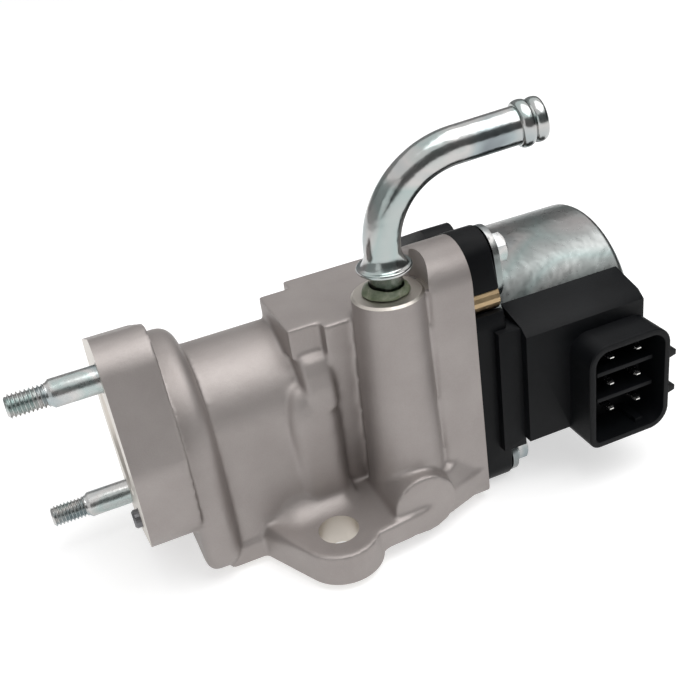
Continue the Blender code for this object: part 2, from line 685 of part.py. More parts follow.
def bosses():
    """The drafted upright pipe boss and the round plug boss at its foot."""
    pipe_boss = turned_z("pipe_boss", [
        (BASE_MIDDLE_Z, BOSS_FOOT_RADIUS),
        (BOSS_TOP_Z - BOSS_EDGE_ROUND, BOSS_TOP_RADIUS),
        (BOSS_TOP_Z, BOSS_TOP_RADIUS - BOSS_EDGE_ROUND),
    ], BOSS_X, BOSS_Y, ROUND_STEPS)
    web = box("boss_web", (BOSS_X - PIPE_COLLAR_RADIUS, BOSS_Y, BASE_MIDDLE_Z),
              (PLATE_START_X + FIT_GAP, 0.0, PAD_TOP_Z - CUT_OVERRUN))
    plug = turned("plug_boss", [
        (0.0, PLUG_RADIUS - BOSS_EDGE_ROUND),
        (BOSS_EDGE_ROUND, PLUG_RADIUS),
        (BOSS_Y - PLUG_NEAR_Y + CUT_OVERRUN, PLUG_RADIUS),
    ], (PLUG_X, PLUG_NEAR_Y, PLUG_Z), (0.0, 1.0, 0.0), ROUND_STEPS)
    return pipe_boss, web, plug


def actuator_plate():
    """The plate that the actuator is screwed to, running down into the base."""
    foot_z = BASE_Z + BASE_CORNER_RADIUS
    circles = [
        (PLATE_TOP_Y, PLATE_TOP_Z, PLATE_CORNER_RADIUS),
        (0.0, 0.0, PLATE_ROUND_RADIUS),
        (REAR_SCREW_Y, REAR_SCREW_Z, REAR_EAR_RADIUS),
        (-PLATE_FOOT_HALF_WIDTH + FIT_GAP, foot_z, BASE_CORNER_RADIUS),
        (PLATE_FOOT_HALF_WIDTH - FIT_GAP, foot_z, BASE_CORNER_RADIUS),
    ]
    return loft_x("plate", [
        (PLATE_START_X, hull_outline(circles, inset=FLANGE_EDGE_ROUND)),
        (PLATE_START_X + FLANGE_EDGE_ROUND, hull_outline(circles)),
        (PLATE_END_X, hull_outline(circles)),
    ])


def gas_cutters():
    """Inlet bore, valve chamber, stem bore and spring chamber in one turned shape, and the outlet."""
    through = turned_x("through", [
        (-CUT_OVERRUN, INLET_BORE_RADIUS + INLET_CHAMFER),
        (0.0, INLET_BORE_RADIUS + INLET_CHAMFER),
        (INLET_CHAMFER, INLET_BORE_RADIUS),
        (INLET_BORE_END_X, INLET_BORE_RADIUS),
        (INLET_BORE_END_X, LEDGE_RADIUS),
        (INLET_BORE_END_X + LEDGE_THICKNESS, LEDGE_RADIUS),
        (INLET_BORE_END_X + LEDGE_THICKNESS, CHAMBER_RADIUS),
        (CHAMBER_END_X, CHAMBER_RADIUS),
        (CHAMBER_END_X, GUIDE_BORE_RADIUS),
        (GUIDE_WALL_END_X - SEAL_POCKET_DEPTH, GUIDE_BORE_RADIUS),
        (GUIDE_WALL_END_X - SEAL_POCKET_DEPTH, SEAL_POCKET_RADIUS),
        (GUIDE_WALL_END_X, SEAL_POCKET_RADIUS),
        (GUIDE_WALL_END_X, SPRING_CHAMBER_RADIUS),
        (PLATE_END_X + CUT_OVERRUN, SPRING_CHAMBER_RADIUS),
    ], 0.0, 0.0, ROUND_STEPS)
    outlet = turned_z("outlet", [
        (BASE_Z - CUT_OVERRUN, OUTLET_BORE_RADIUS),
        (-STEM_RADIUS, OUTLET_BORE_RADIUS),
    ], OUTLET_BORE_X, 0.0, ROUND_STEPS)
    return through, outlet


def hole_cutters():
    """Stud, dowel, screw, ear and coolant holes and the seal groove."""
    cutters = []
    for sign in (1.0, -1.0):
        cutters.append(turned_x("stud_hole", [
            (-CUT_OVERRUN, STUD_SHANK_RADIUS + FIT_GAP),
            (STUD_DEPTH + FIT_GAP, STUD_SHANK_RADIUS + FIT_GAP),
        ], STUD_Y * sign, STUD_Z * sign, SMALL_STEPS))
    cutters.append(turned_x("dowel_hole", [
        (-CUT_OVERRUN, DOWEL_RADIUS + FIT_GAP),
        (DOWEL_DEPTH + FIT_GAP, DOWEL_RADIUS + FIT_GAP),
    ], DOWEL_Y, DOWEL_Z, SMALL_STEPS))
    for y, z in screw_positions():
        cutters.append(turned_x("screw_hole", [
            (PLATE_END_X - SCREW_DEPTH - FIT_GAP, SCREW_RADIUS + FIT_GAP),
            (PLATE_END_X + CUT_OVERRUN, SCREW_RADIUS + FIT_GAP),
        ], y, z, PIN_STEPS))
    for x, y in ((NEAR_EAR_X, NEAR_EAR_Y), (FAR_EAR_X, FAR_EAR_Y)):
        cutters.append(turned_z("ear_hole", [
            (BASE_Z - CUT_OVERRUN, EAR_HOLE_RADIUS),
            (BASE_Z + BASE_THICKNESS + CUT_OVERRUN, EAR_HOLE_RADIUS),
        ], x, y, SMALL_STEPS))
    cutters.append(turned_z("coolant_bore", [
        (BASE_Z - CUT_OVERRUN, COOLANT_BORE_RADIUS),
        (PIPE_SEAT_Z, COOLANT_BORE_RADIUS),
        (PIPE_SEAT_Z, PIPE_NECK_RADIUS + FIT_GAP),
        (BOSS_TOP_Z + CUT_OVERRUN, PIPE_NECK_RADIUS + FIT_GAP),
    ], BOSS_X, BOSS_Y, SMALL_STEPS))
    cutters.append(turned_x("groove", [
        (PLATE_END_X - SEAL_GROOVE_DEPTH, SEAL_GROOVE_RADIUS - SEAL_GROOVE_WIDTH * 0.5),
        (PLATE_END_X - SEAL_GROOVE_DEPTH, SEAL_GROOVE_RADIUS + SEAL_GROOVE_WIDTH * 0.5),
        (PLATE_END_X + CUT_OVERRUN, SEAL_GROOVE_RADIUS + SEAL_GROOVE_WIDTH * 0.5),
        (PLATE_END_X + CUT_OVERRUN, SEAL_GROOVE_RADIUS - SEAL_GROOVE_WIDTH * 0.5),
    ], 0.0, 0.0, ROUND_STEPS, ring=True))
    return cutters


def screw_positions():
    return (
        (UPPER_SCREW_Y, UPPER_SCREW_Z),
        (LOWER_SCREW_Y, LOWER_SCREW_Z),
        (REAR_SCREW_Y, REAR_SCREW_Z),
    )


def valve_body(material):
    flange, collar = inlet_end()
    body = join_pieces(flange, [collar])
    join_pieces(body, barrel_sections())
    join_pieces(body, base_plate())
    join_pieces(body, [actuator_plate()])
    join_pieces(body, [duct()])
    join_pieces(body, pad_pieces())
    join_pieces(body, ribs())
    join_pieces(body, bosses())
    cut_pieces(body, gas_cutters())
    cut_pieces(body, hole_cutters())
    body.name = "valve_body"
    body.data.materials.clear()
    body.data.materials.append(material)
    return body


def stud(name, sign, material):
    """A stepped stud: plain shank in the flange, thinner threaded end outside."""
    profile = [
        (-STUD_LENGTH, STUD_THREAD_RADIUS - STUD_CHAMFER),
        (-STUD_LENGTH + STUD_CHAMFER, STUD_THREAD_RADIUS),
        (-STUD_LENGTH + STUD_THREAD_LENGTH, STUD_THREAD_RADIUS),
        (-STUD_LENGTH + STUD_THREAD_LENGTH + STUD_CHAMFER, STUD_SHANK_RADIUS),
        (STUD_DEPTH, STUD_SHANK_RADIUS),
    ]
    return turned_x(name, profile, STUD_Y * sign, STUD_Z * sign, SMALL_STEPS, material)


def dowel(material):
    chamfer = DOWEL_CHAMFER
    return turned_x("inlet_dowel_pin", [
        (-DOWEL_STAND, DOWEL_RADIUS - chamfer),
        (-DOWEL_STAND + chamfer, DOWEL_RADIUS),
        (DOWEL_DEPTH, DOWEL_RADIUS),
    ], DOWEL_Y, DOWEL_Z, SMALL_STEPS, material)


def pipe_path():
    """Stations of the pipe (centre, direction, outer radius) and the number of the one where it bends."""
    foot = Vector((BOSS_X, BOSS_Y, PIPE_SEAT_Z + FIT_GAP))
    end = Vector((PIPE_END_X, PIPE_END_Y, PIPE_END_Z))
    sideways = Vector((end.x - foot.x, end.y - foot.y, 0.0))
    reach = sideways.length
    sideways.normalize()
    rise = end.z - PIPE_BEND_START_Z
    angle = bend_angle(reach, rise)
    stations = []
    swell = PIPE_COLLAR_RADIUS - PIPE_RADIUS
    edge = PIPE_COLLAR_END_Z - PIPE_COLLAR_START_Z
    flare = PIPE_FLARE_END_Z - PIPE_COLLAR_END_Z
    profile = [
        (foot.z, PIPE_NECK_RADIUS),
        (PIPE_COLLAR_START_Z, PIPE_NECK_RADIUS),
        (PIPE_COLLAR_START_Z, PIPE_RADIUS + swell * COLLAR_EDGE_SHARE),
        (PIPE_COLLAR_END_Z - edge * COLLAR_EDGE_SHARE, PIPE_COLLAR_RADIUS),
        (PIPE_COLLAR_END_Z, PIPE_COLLAR_RADIUS),
    ]
    for height, radius in zip(FLARE_HEIGHT_SHARES, FLARE_RADIUS_SHARES):
        profile.append((PIPE_COLLAR_END_Z + flare * height, PIPE_RADIUS + swell * radius))
    profile.append((PIPE_FLARE_END_Z, PIPE_RADIUS))
    for z, radius in profile:
        stations.append((Vector((BOSS_X, BOSS_Y, z)), Vector((0.0, 0.0, 1.0)), radius))
    bend_start = len(stations)
    for step in range(PIPE_BEND_STEPS + 1):
        turn = angle * step / PIPE_BEND_STEPS
        centre = Vector((BOSS_X, BOSS_Y, PIPE_BEND_START_Z + PIPE_BEND_RADIUS * math.sin(turn)))
        centre += sideways * PIPE_BEND_RADIUS * (1.0 - math.cos(turn))
        heading = Vector((0.0, 0.0, math.cos(turn))) + sideways * math.sin(turn)
        stations.append((centre, heading, PIPE_RADIUS))
    heading = stations[-1][1]
    grow = PIPE_BEAD_RADIUS - PIPE_RADIUS
    bead_end = PIPE_BEAD_TO_END
    bead_start = bead_end + PIPE_BEAD_LENGTH
    side_share, middle_share, height_share = BEAD_SHARES
    lip = PIPE_LIP_RADIUS - PIPE_RADIUS
    for back, radius in (
        (bead_start, PIPE_RADIUS),
        (bead_start - PIPE_BEAD_LENGTH * side_share, PIPE_RADIUS + grow * height_share),
        (bead_start - PIPE_BEAD_LENGTH * middle_share, PIPE_BEAD_RADIUS),
        (bead_end + PIPE_BEAD_LENGTH * side_share, PIPE_RADIUS + grow * height_share),
        (bead_end, PIPE_RADIUS + lip * middle_share),
        (bead_end * height_share, PIPE_LIP_RADIUS),
        (bead_end * side_share, PIPE_LIP_RADIUS),
        (0.0, PIPE_RADIUS),
    ):
        stations.append((end - heading * back, heading, radius))
    return stations, bend_start


def bend_angle(reach, rise):
    """Angle from upright at which a straight run leaves the bend and meets the hose end."""
    low = BEND_MIN_ANGLE
    high = math.pi * 0.5
    for _ in range(BEND_SEARCH_STEPS):
        middle = 0.5 * (low + high)
        across = reach - PIPE_BEND_RADIUS * (1.0 - math.cos(middle))
        up = rise - PIPE_BEND_RADIUS * math.sin(middle)
        if across * math.cos(middle) > up * math.sin(middle):
            low = middle
        else:
            high = middle
    return 0.5 * (low + high)


def coolant_pipe(material):
    stations, bend_start = pipe_path()
    outward = Vector((PIPE_END_Y - BOSS_Y, BOSS_X - PIPE_END_X, 0.0)).normalized()
    outer = []
    inner = []
    for centre, heading, radius in stations:
        side = heading.cross(outward).normalized()
        for rings, reach in ((outer, radius), (inner, PIPE_BORE_RADIUS)):
            circle = []
            for step in range(SMALL_STEPS):
                angle = 2.0 * math.pi * (step + 0.5) / SMALL_STEPS
                circle.append(centre + outward * reach * math.cos(angle) + side * reach * math.sin(angle))
            rings.append(circle)
    slim = [inner[0]] + inner[bend_start:bend_start + PIPE_BEND_STEPS + 1] + [inner[-1]]
    points, faces = bridge_rings(outer + slim[::-1], closed=True)
    return make_object("coolant_pipe", points, faces, material)


def sealant(material):
    inner = PIPE_NECK_RADIUS + FIT_GAP
    low = BOSS_TOP_Z + FIT_GAP
    return turned_z("pipe_sealant_ring", [
        (low, inner),
        (low, SEALANT_RADIUS),
        (low + SEALANT_HEIGHT * SEALANT_SHARES[0], SEALANT_RADIUS - SEALANT_HEIGHT * SEALANT_SLOPE_SHARES[0]),
        (low + SEALANT_HEIGHT * SEALANT_SHARES[1], inner + SEALANT_HEIGHT * SEALANT_SLOPE_SHARES[1]),
        (low + SEALANT_HEIGHT, inner),
    ], BOSS_X, BOSS_Y, SMALL_STEPS, material, ring=True)


def seat_ring(material):
    outer = INLET_BORE_RADIUS - FIT_GAP
    end = INLET_BORE_END_X - FIT_GAP
    return turned_x("valve_seat_ring", [
        (SEAT_START_X, SEAT_BORE_RADIUS + SEAT_CONE),
        (SEAT_START_X, outer),
        (end, outer),
        (end, SEAT_BORE_RADIUS),
        (SEAT_START_X + SEAT_CONE, SEAT_BORE_RADIUS),
    ], 0.0, 0.0, ROUND_STEPS, material, ring=True)


def pintle(material):
    """Valve head with its cone, and the stem that runs to the lead screw."""
    return turned_x("valve_pintle", [
        (PINTLE_HEAD_START_X, PINTLE_CONE_RADIUS),
        (PINTLE_HEAD_START_X + STUD_CHAMFER, PINTLE_HEAD_RADIUS),
        (PINTLE_HEAD_RIM_X, PINTLE_HEAD_RADIUS),
        (PINTLE_HEAD_BACK_X, PINTLE_CONE_RADIUS),
        (PINTLE_NECK_X, STEM_RADIUS),
        (STEM_END_X - STUD_CHAMFER, STEM_RADIUS),
        (STEM_END_X, STEM_RADIUS - STUD_CHAMFER),
    ], 0.0, 0.0, SMALL_STEPS, material)


def sleeve(name, start, end, inner, outer, y, z, steps, material):
    """A plain ring along X."""
    return turned_x(name, [(start, inner), (start, outer), (end, outer), (end, inner)],
                    y, z, steps, material, ring=True)


def guide_parts(bronze, rubber):
    bush_end = GUIDE_WALL_END_X - SEAL_POCKET_DEPTH - FIT_GAP
    bush = sleeve("stem_guide_bush", BUSH_START_X, bush_end, STEM_RADIUS + STEM_CLEARANCE,
                  GUIDE_BORE_RADIUS - FIT_GAP, 0.0, 0.0, SMALL_STEPS, bronze)
    seal = sleeve("stem_seal", bush_end + 2.0 * FIT_GAP, GUIDE_WALL_END_X - FIT_GAP,
                  STEM_RADIUS + FIT_GAP, SEAL_POCKET_RADIUS - FIT_GAP, 0.0, 0.0, SMALL_STEPS, rubber)
    return bush, seal


def return_spring(material):
    """A coil spring between the guide wall and the retainer."""
    start = GUIDE_WALL_END_X + FIT_GAP + SPRING_WIRE_RADIUS
    end = RETAINER_START_X - FIT_GAP - SPRING_WIRE_RADIUS
    count = SPRING_TURNS * SPRING_STEPS
    rings = []
    for step in range(count + 1):
        turn = 2.0 * math.pi * step / SPRING_STEPS
        along = start + (end - start) * step / count
        radial = Vector((0.0, math.cos(turn), math.sin(turn)))
        centre = Vector((along, 0.0, 0.0)) + radial * SPRING_RADIUS
        circle = []
        for side in range(SPRING_WIRE_STEPS):
            angle = 2.0 * math.pi * side / SPRING_WIRE_STEPS
            offset = radial * math.cos(angle) + Vector((1.0, 0.0, 0.0)) * math.sin(angle)
            circle.append(centre + offset * SPRING_WIRE_RADIUS)
        rings.append(circle)
    points, faces = bridge_rings(rings)
    return make_object("return_spring", points, faces, material)


def spring_retainer(material):
    return sleeve("spring_retainer", RETAINER_START_X, RETAINER_START_X + RETAINER_THICKNESS,
                  STEM_RADIUS + FIT_GAP, RETAINER_RADIUS, 0.0, 0.0, SMALL_STEPS, material)


def seal_ring(material):
    """Round section ring in the groove of the actuator plate."""
    radius = (SEAL_GROOVE_DEPTH - FIT_GAP) * SEAL_RADIUS_SHARE
    centre_x = PLATE_END_X - radius
    profile = []
    for step in range(SPRING_WIRE_STEPS):
        angle = 2.0 * math.pi * step / SPRING_WIRE_STEPS
        profile.append((centre_x + radius * math.sin(angle), SEAL_GROOVE_RADIUS + radius * math.cos(angle)))
    return turned_x("actuator_seal_ring", profile, 0.0, 0.0, ROUND_STEPS, material, ring=True)


def housing_flange():
    start = PLATE_END_X + FIT_GAP
    circles = [
        (UPPER_SCREW_Y, UPPER_SCREW_Z, HOUSING_CORNER_RADIUS),
        (HOUSING_SIDE_Y, HOUSING_SIDE_Z, HOUSING_CORNER_RADIUS),
        (LOWER_SCREW_Y, LOWER_SCREW_Z, HOUSING_LOWER_EAR_RADIUS),
        (0.0, 0.0, HOUSING_ROUND_RADIUS),
        (REAR_SCREW_Y, REAR_SCREW_Z, HOUSING_REAR_EAR_RADIUS),
    ]
    outline = hull_outline(circles)
    small = hull_outline(circles, inset=FLANGE_EDGE_ROUND * SMALL_EDGE_SHARE)
    flange = loft_x("housing_flange", [
        (start, outline),
        (HOUSING_FLANGE_END_X - FLANGE_EDGE_ROUND * SMALL_EDGE_SHARE, outline),
        (HOUSING_FLANGE_END_X, small),
    ])
    crest_outline = hull_outline([
        (HOUSING_CREST_Y, HOUSING_CREST_Z, HOUSING_CREST_RADIUS),
        (HOUSING_SHOULDER_Y, HOUSING_SHOULDER_Z, HOUSING_SHOULDER_RADIUS),
        (0.0, 0.0, SPIGOT_RADIUS),
    ])
    crest = loft_x("housing_crest", [
        (start + FIT_GAP, crest_outline),
        (HOUSING_FLANGE_END_X - FLANGE_EDGE_ROUND * SMALL_EDGE_SHARE, crest_outline),
    ])
    spigot = turned_x("spigot", [
        (SPIGOT_START_X, SPIGOT_RADIUS - SPIGOT_WALL),
        (SPIGOT_START_X, SPIGOT_RADIUS),
        (start + CUT_OVERRUN, SPIGOT_RADIUS),
        (start + CUT_OVERRUN, SPIGOT_RADIUS - SPIGOT_WALL),
    ], 0.0, 0.0, ROUND_STEPS, ring=True)
    return flange, crest, spigot


def housing_block():
    """The step behind the flange and the side block that carries the connector."""
    step = box("step", (HOUSING_FLANGE_END_X - CUT_OVERRUN, STEP_NEAR_Y, STEP_BOTTOM_Z),
               (STEP_END_X + FIT_GAP, BLOCK_FOOT_Y, STEP_TOP_Z))
    outline = [
        (BLOCK_NEAR_Y, BLOCK_BOTTOM_Z),
        (BLOCK_FOOT_Y, BLOCK_BOTTOM_Z),
        (BLOCK_FOOT_Y, BLOCK_BACK_Z),
        (BLOCK_BACK_Y, BLOCK_BACK_Z),
        (BLOCK_RIDGE_Y, BLOCK_RIDGE_Z),
        (BLOCK_NEAR_Y, BLOCK_TOP_Z),
    ]
    block = loft_x("block", [(STEP_END_X, outline), (BLOCK_END_X, outline)])
    return step, block


def shroud_outline(inset):
    top = SHROUD_TOP_Z
    bottom = SHROUD_BOTTOM_Z
    left = SHROUD_START_X
    right = SHROUD_END_X
    big = SHROUD_CORNER_RADIUS
    small = SHROUD_SMALL_CORNER_RADIUS
    circles = [
        (left + big, top - big, big),
        (right - big, top - big, big),
        (right - big, bottom + big, big),
        (left + small, bottom + small, small),
    ]
    return hull_outline(circles, steps=ROUND_STEPS, inset=inset)


def connector_shroud():
    shroud = loft_y("shroud", [
        (SHROUD_NEAR_Y, shroud_outline(FIT_GAP)),
        (SHROUD_NEAR_Y + FIT_GAP, shroud_outline(0.0)),
        (SHROUD_BACK_Y, shroud_outline(0.0)),
    ])
    lugs = []
    for z in (UPPER_LUG_Z, LOWER_LUG_Z):
        outline = [
            (SHROUD_END_X - SHROUD_WALL * 0.5, z - LUG_HEIGHT * 0.5),
            (SHROUD_END_X + LUG_LENGTH, z - LUG_HEIGHT * LUG_TIP_SHARE),
            (SHROUD_END_X + LUG_LENGTH, z + LUG_HEIGHT * LUG_TIP_SHARE),
            (SHROUD_END_X - SHROUD_WALL * 0.5, z + LUG_HEIGHT * 0.5),
        ]
        lugs.append(loft_y("lug", [(SHROUD_NEAR_Y + FIT_GAP, outline),
                                   (SHROUD_NEAR_Y + LUG_DEPTH, outline)]))
    socket = loft_y("socket", [
        (SHROUD_NEAR_Y - CUT_OVERRUN, shroud_outline(SHROUD_WALL)),
        (SOCKET_FLOOR_Y, shroud_outline(SHROUD_WALL)),
    ])
    return shroud, lugs, socket


def socket_shelves():
    """Two shelves between the pin rows and a small key on the socket's lower wall."""
    shelves = []
    for share in SHELF_PITCH_SHARES:
        z = PIN_TOP_Z - share * PIN_PITCH_Z
        shelves.append(box("shelf", (SHROUD_START_X + SHELF_INSET, SHELF_NEAR_Y, z - SHELF_THICKNESS * 0.5),
                           (SHROUD_END_X - SHELF_INSET, SOCKET_FLOOR_Y + FIT_GAP * 2.0,
                            z + SHELF_THICKNESS * 0.5)))
    low = SHROUD_BOTTOM_Z + SHROUD_WALL
    shelves.append(box("key", (KEY_X, SHELF_NEAR_Y, low - FIT_GAP * 2.0),
                       (KEY_X + KEY_WIDTH, SOCKET_FLOOR_Y + FIT_GAP * 2.0, low + KEY_HEIGHT)))
    return shelves


def housing_cutters():
    """Room for the can, the lead screw, the bearing, the bushes and the connector pins."""
    cutters = [turned_x("can_room", [
        (HOUSING_FLANGE_END_X, CAN_RIM_RADIUS + FIT_GAP),
        (CAN_START_X + CAN_FLANGE_THICKNESS + FIT_GAP, CAN_RIM_RADIUS + FIT_GAP),
        (CAN_START_X + CAN_FLANGE_THICKNESS + FIT_GAP, CAN_RADIUS + FIT_GAP),
        (BLOCK_END_X + CUT_OVERRUN, CAN_RADIUS + FIT_GAP),
    ], 0.0, 0.0, ROUND_STEPS)]
    cutters.append(turned_x("screw_passage", [
        (PLATE_END_X - CUT_OVERRUN, SCREW_PASSAGE_RADIUS),
        (HOUSING_FLANGE_END_X + CUT_OVERRUN, SCREW_PASSAGE_RADIUS),
    ], 0.0, 0.0, SMALL_STEPS))
    for y, z in screw_positions():
        cutters.append(turned_x("bush_hole", [
            (PLATE_END_X - CUT_OVERRUN, MOUNTING_BUSH_RADIUS + FIT_GAP),
            (HOUSING_FLANGE_END_X + CUT_OVERRUN, MOUNTING_BUSH_RADIUS + FIT_GAP),
        ], y, z, SMALL_STEPS))
        cutters.append(turned_x("head_room", [
            (HOUSING_FLANGE_END_X, SCREW_WASHER_RADIUS + FIT_GAP),
            (STEP_END_X + CUT_OVERRUN, SCREW_WASHER_RADIUS + FIT_GAP),
        ], y, z, SMALL_STEPS))
    cutters.append(box("notch", (PLATE_END_X - CUT_OVERRUN, STEP_NEAR_Y - CUT_OVERRUN, NOTCH_BOTTOM_Z),
                       (HOUSING_FLANGE_END_X + CUT_OVERRUN, SLEEVE_Y, NOTCH_TOP_Z)))
    cutters.append(turned_x("sleeve_hole", [
        (PLATE_END_X - CUT_OVERRUN, SLEEVE_RADIUS + FIT_GAP),
        (HOUSING_FLANGE_END_X + CUT_OVERRUN, SLEEVE_RADIUS + FIT_GAP),
    ], SLEEVE_Y, SLEEVE_Z, SMALL_STEPS))
    cutters.append(turned_x("bearing_pocket", [
        (BEARING_FRONT_X - FIT_GAP, BEARING_RADIUS + FIT_GAP),
        (HOUSING_FLANGE_END_X + CUT_OVERRUN, BEARING_RADIUS + FIT_GAP),
    ], 0.0, 0.0, SMALL_STEPS))
    for x, z in pin_positions():
        half = PIN_WIDTH * 0.5 + FIT_GAP
        thin = PIN_THICKNESS * 0.5 + FIT_GAP
        cutters.append(box("pin_slot", (x - half, SOCKET_FLOOR_Y - FIT_GAP, z - thin),
                           (x + half, PIN_ROOT_Y + FIT_GAP, z + thin)))
    return cutters


def pin_positions():
    return [(x, PIN_TOP_Z - row * PIN_PITCH_Z) for row in range(PIN_ROWS) for x in (PIN_LEFT_X, PIN_RIGHT_X)]


def actuator_housing(material):
    flange, crest, spigot = housing_flange()
    shroud, lugs, socket = connector_shroud()
    housing = join_pieces(flange, [crest, spigot])
    join_pieces(housing, housing_block())
    join_pieces(housing, [shroud])
    join_pieces(housing, lugs)
    cut_pieces(housing, [socket])
    join_pieces(housing, socket_shelves())
    cut_pieces(housing, housing_cutters())
    housing.name = "actuator_housing"
    housing.data.materials.clear()
    housing.data.materials.append(material)
    return housing


def connector_pins(material):
    tip = PIN_THICKNESS * 0.5
    for number, (x, z) in enumerate(pin_positions(), start=1):
        half = PIN_WIDTH * 0.5
        thin = PIN_THICKNESS * 0.5
        full = [(x - half, z - thin), (x + half, z - thin), (x + half, z + thin), (x - half, z + thin)]
        wide, high = PIN_TIP_SHARES
        slim = [(x + (px - x) * wide, z + (pz - z) * high) for px, pz in full]
        loft_y("connector_pin_%d" % number, [
            (PIN_TIP_Y, slim),
            (PIN_TIP_Y + tip * 2.0, full),
            (PIN_ROOT_Y, full),
        ], material)


def mounting_hardware(brass, zinc):
    """A brass bush in each flange ear with a hexagon head screw through it, and the locating sleeve."""
    names = ("upper", "lower", "rear")
    start = PLATE_END_X + FIT_GAP
    for label, (y, z) in zip(names, screw_positions()):
        sleeve("mounting_bush_" + label, start, HOUSING_FLANGE_END_X, MOUNTING_BUSH_BORE_RADIUS,
               MOUNTING_BUSH_RADIUS, y, z, SMALL_STEPS, brass)
        mounting_screw(label, y, z, zinc)
    sleeve("locating_sleeve", start, HOUSING_FLANGE_END_X - FIT_GAP, SLEEVE_RADIUS - SLEEVE_WALL,
           SLEEVE_RADIUS, SLEEVE_Y, SLEEVE_Z, SMALL_STEPS, brass)


def mounting_screw(label, y, z, material):
    seat = CAN_START_X + CAN_FLANGE_THICKNESS + FIT_GAP
    under_head = seat + SCREW_WASHER_THICKNESS
    top = under_head + SCREW_HEAD_LENGTH
    shank = turned_x("shank", [
        (PLATE_END_X - SCREW_DEPTH, SCREW_RADIUS - SCREW_TIP_CHAMFER),
        (PLATE_END_X - SCREW_DEPTH + SCREW_TIP_CHAMFER, SCREW_RADIUS),
        (seat, SCREW_RADIUS),
        (seat, SCREW_WASHER_RADIUS),
        (under_head, SCREW_WASHER_RADIUS),
    ], y, z, PIN_STEPS)
    head = turned_x("head", [
        (seat + SCREW_WASHER_THICKNESS * SMALL_EDGE_SHARE, SCREW_HEAD_RADIUS),
        (top - SCREW_HEAD_CHAMFER, SCREW_HEAD_RADIUS),
        (top, SCREW_HEAD_RADIUS - SCREW_HEAD_CHAMFER),
    ], y, z, HEXAGON_SIDES)
    screw = join_pieces(shank, [head])
    screw.name = "mounting_screw_" + label
    screw.data.materials.clear()
    screw.data.materials.append(material)
    return screw


def motor_can(material):
    """A drawn cup with three flange ears under the screw heads and a bearing cup in its closed end."""
    inner = CAN_RADIUS - CAN_WALL
    end = CAN_END_X
    cup_end = end + CAN_CUP_HEIGHT
    rim_end = CAN_START_X + CAN_FLANGE_THICKNESS - CAN_EAR_STEP
    shell = turned_x("can_shell", [
        (CAN_START_X, CAN_RIM_RADIUS),
        (rim_end, CAN_RIM_RADIUS),
        (rim_end, CAN_RADIUS),
    ] + rounded_end(end, CAN_RADIUS, CAN_ROUND) + [(end, CAN_CUP_RADIUS)]
        + rounded_end(cup_end, CAN_CUP_RADIUS, CAN_CUP_ROUND), 0.0, 0.0, ROUND_STEPS)
    join_pieces(shell, can_ears())
    inner_cup = CAN_CUP_RADIUS - CAN_WALL
    room = turned_x("can_room", [(CAN_START_X - CUT_OVERRUN, inner)]
                    + rounded_end(end - CAN_WALL, inner, CAN_ROUND - CAN_WALL)
                    + [(end - CAN_WALL, inner_cup), (cup_end - CAN_WALL, inner_cup)],
                    0.0, 0.0, ROUND_STEPS)
    holes = []
    for y, z in screw_positions():
        holes.append(turned_x("screw_hole", [
            (CAN_START_X - CUT_OVERRUN, SCREW_RADIUS + FIT_GAP),
            (CAN_START_X + CAN_FLANGE_THICKNESS + CUT_OVERRUN, SCREW_RADIUS + FIT_GAP),
        ], y, z, PIN_STEPS))
    cut_pieces(shell, [room] + holes)
    shell.name = "motor_can"
    shell.data.materials.clear()
    shell.data.materials.append(material)
    return shell


def can_ears():
    """The can's flange ears, a step off the round rim. Each reaches in to it beside the connector block."""
    roots = (
        (EAR_ROOT_UPPER_Y, EAR_ROOT_UPPER_Z, EAR_ROOT_RADIUS),
        (EAR_ROOT_LOWER_Y, EAR_ROOT_LOWER_Z, EAR_ROOT_LOWER_RADIUS),
        (EAR_ROOT_REAR_Y, 0.0, EAR_ROOT_RADIUS),
    )
    radii = (HOUSING_CORNER_RADIUS, HOUSING_LOWER_EAR_RADIUS, HOUSING_REAR_EAR_RADIUS)
    ears = []
    for (y, z), root, radius in zip(screw_positions(), roots, radii):
        outline = hull_outline([(y, z, radius - CAN_EAR_SETBACK), root], steps=ROUND_STEPS)
        ears.append(loft_x("can_ear", [
            (CAN_START_X + CAN_EAR_STEP, outline),
            (CAN_START_X + CAN_FLANGE_THICKNESS, outline),
        ]))
    return ears


def rounded_end(end, radius, rounding):
    points = []
    for step in range(ROUNDING_STEPS + 1):
        angle = math.pi * 0.5 * step / ROUNDING_STEPS
        points.append((end - rounding * (1.0 - math.sin(angle)), radius - rounding * (1.0 - math.cos(angle))))
    return points


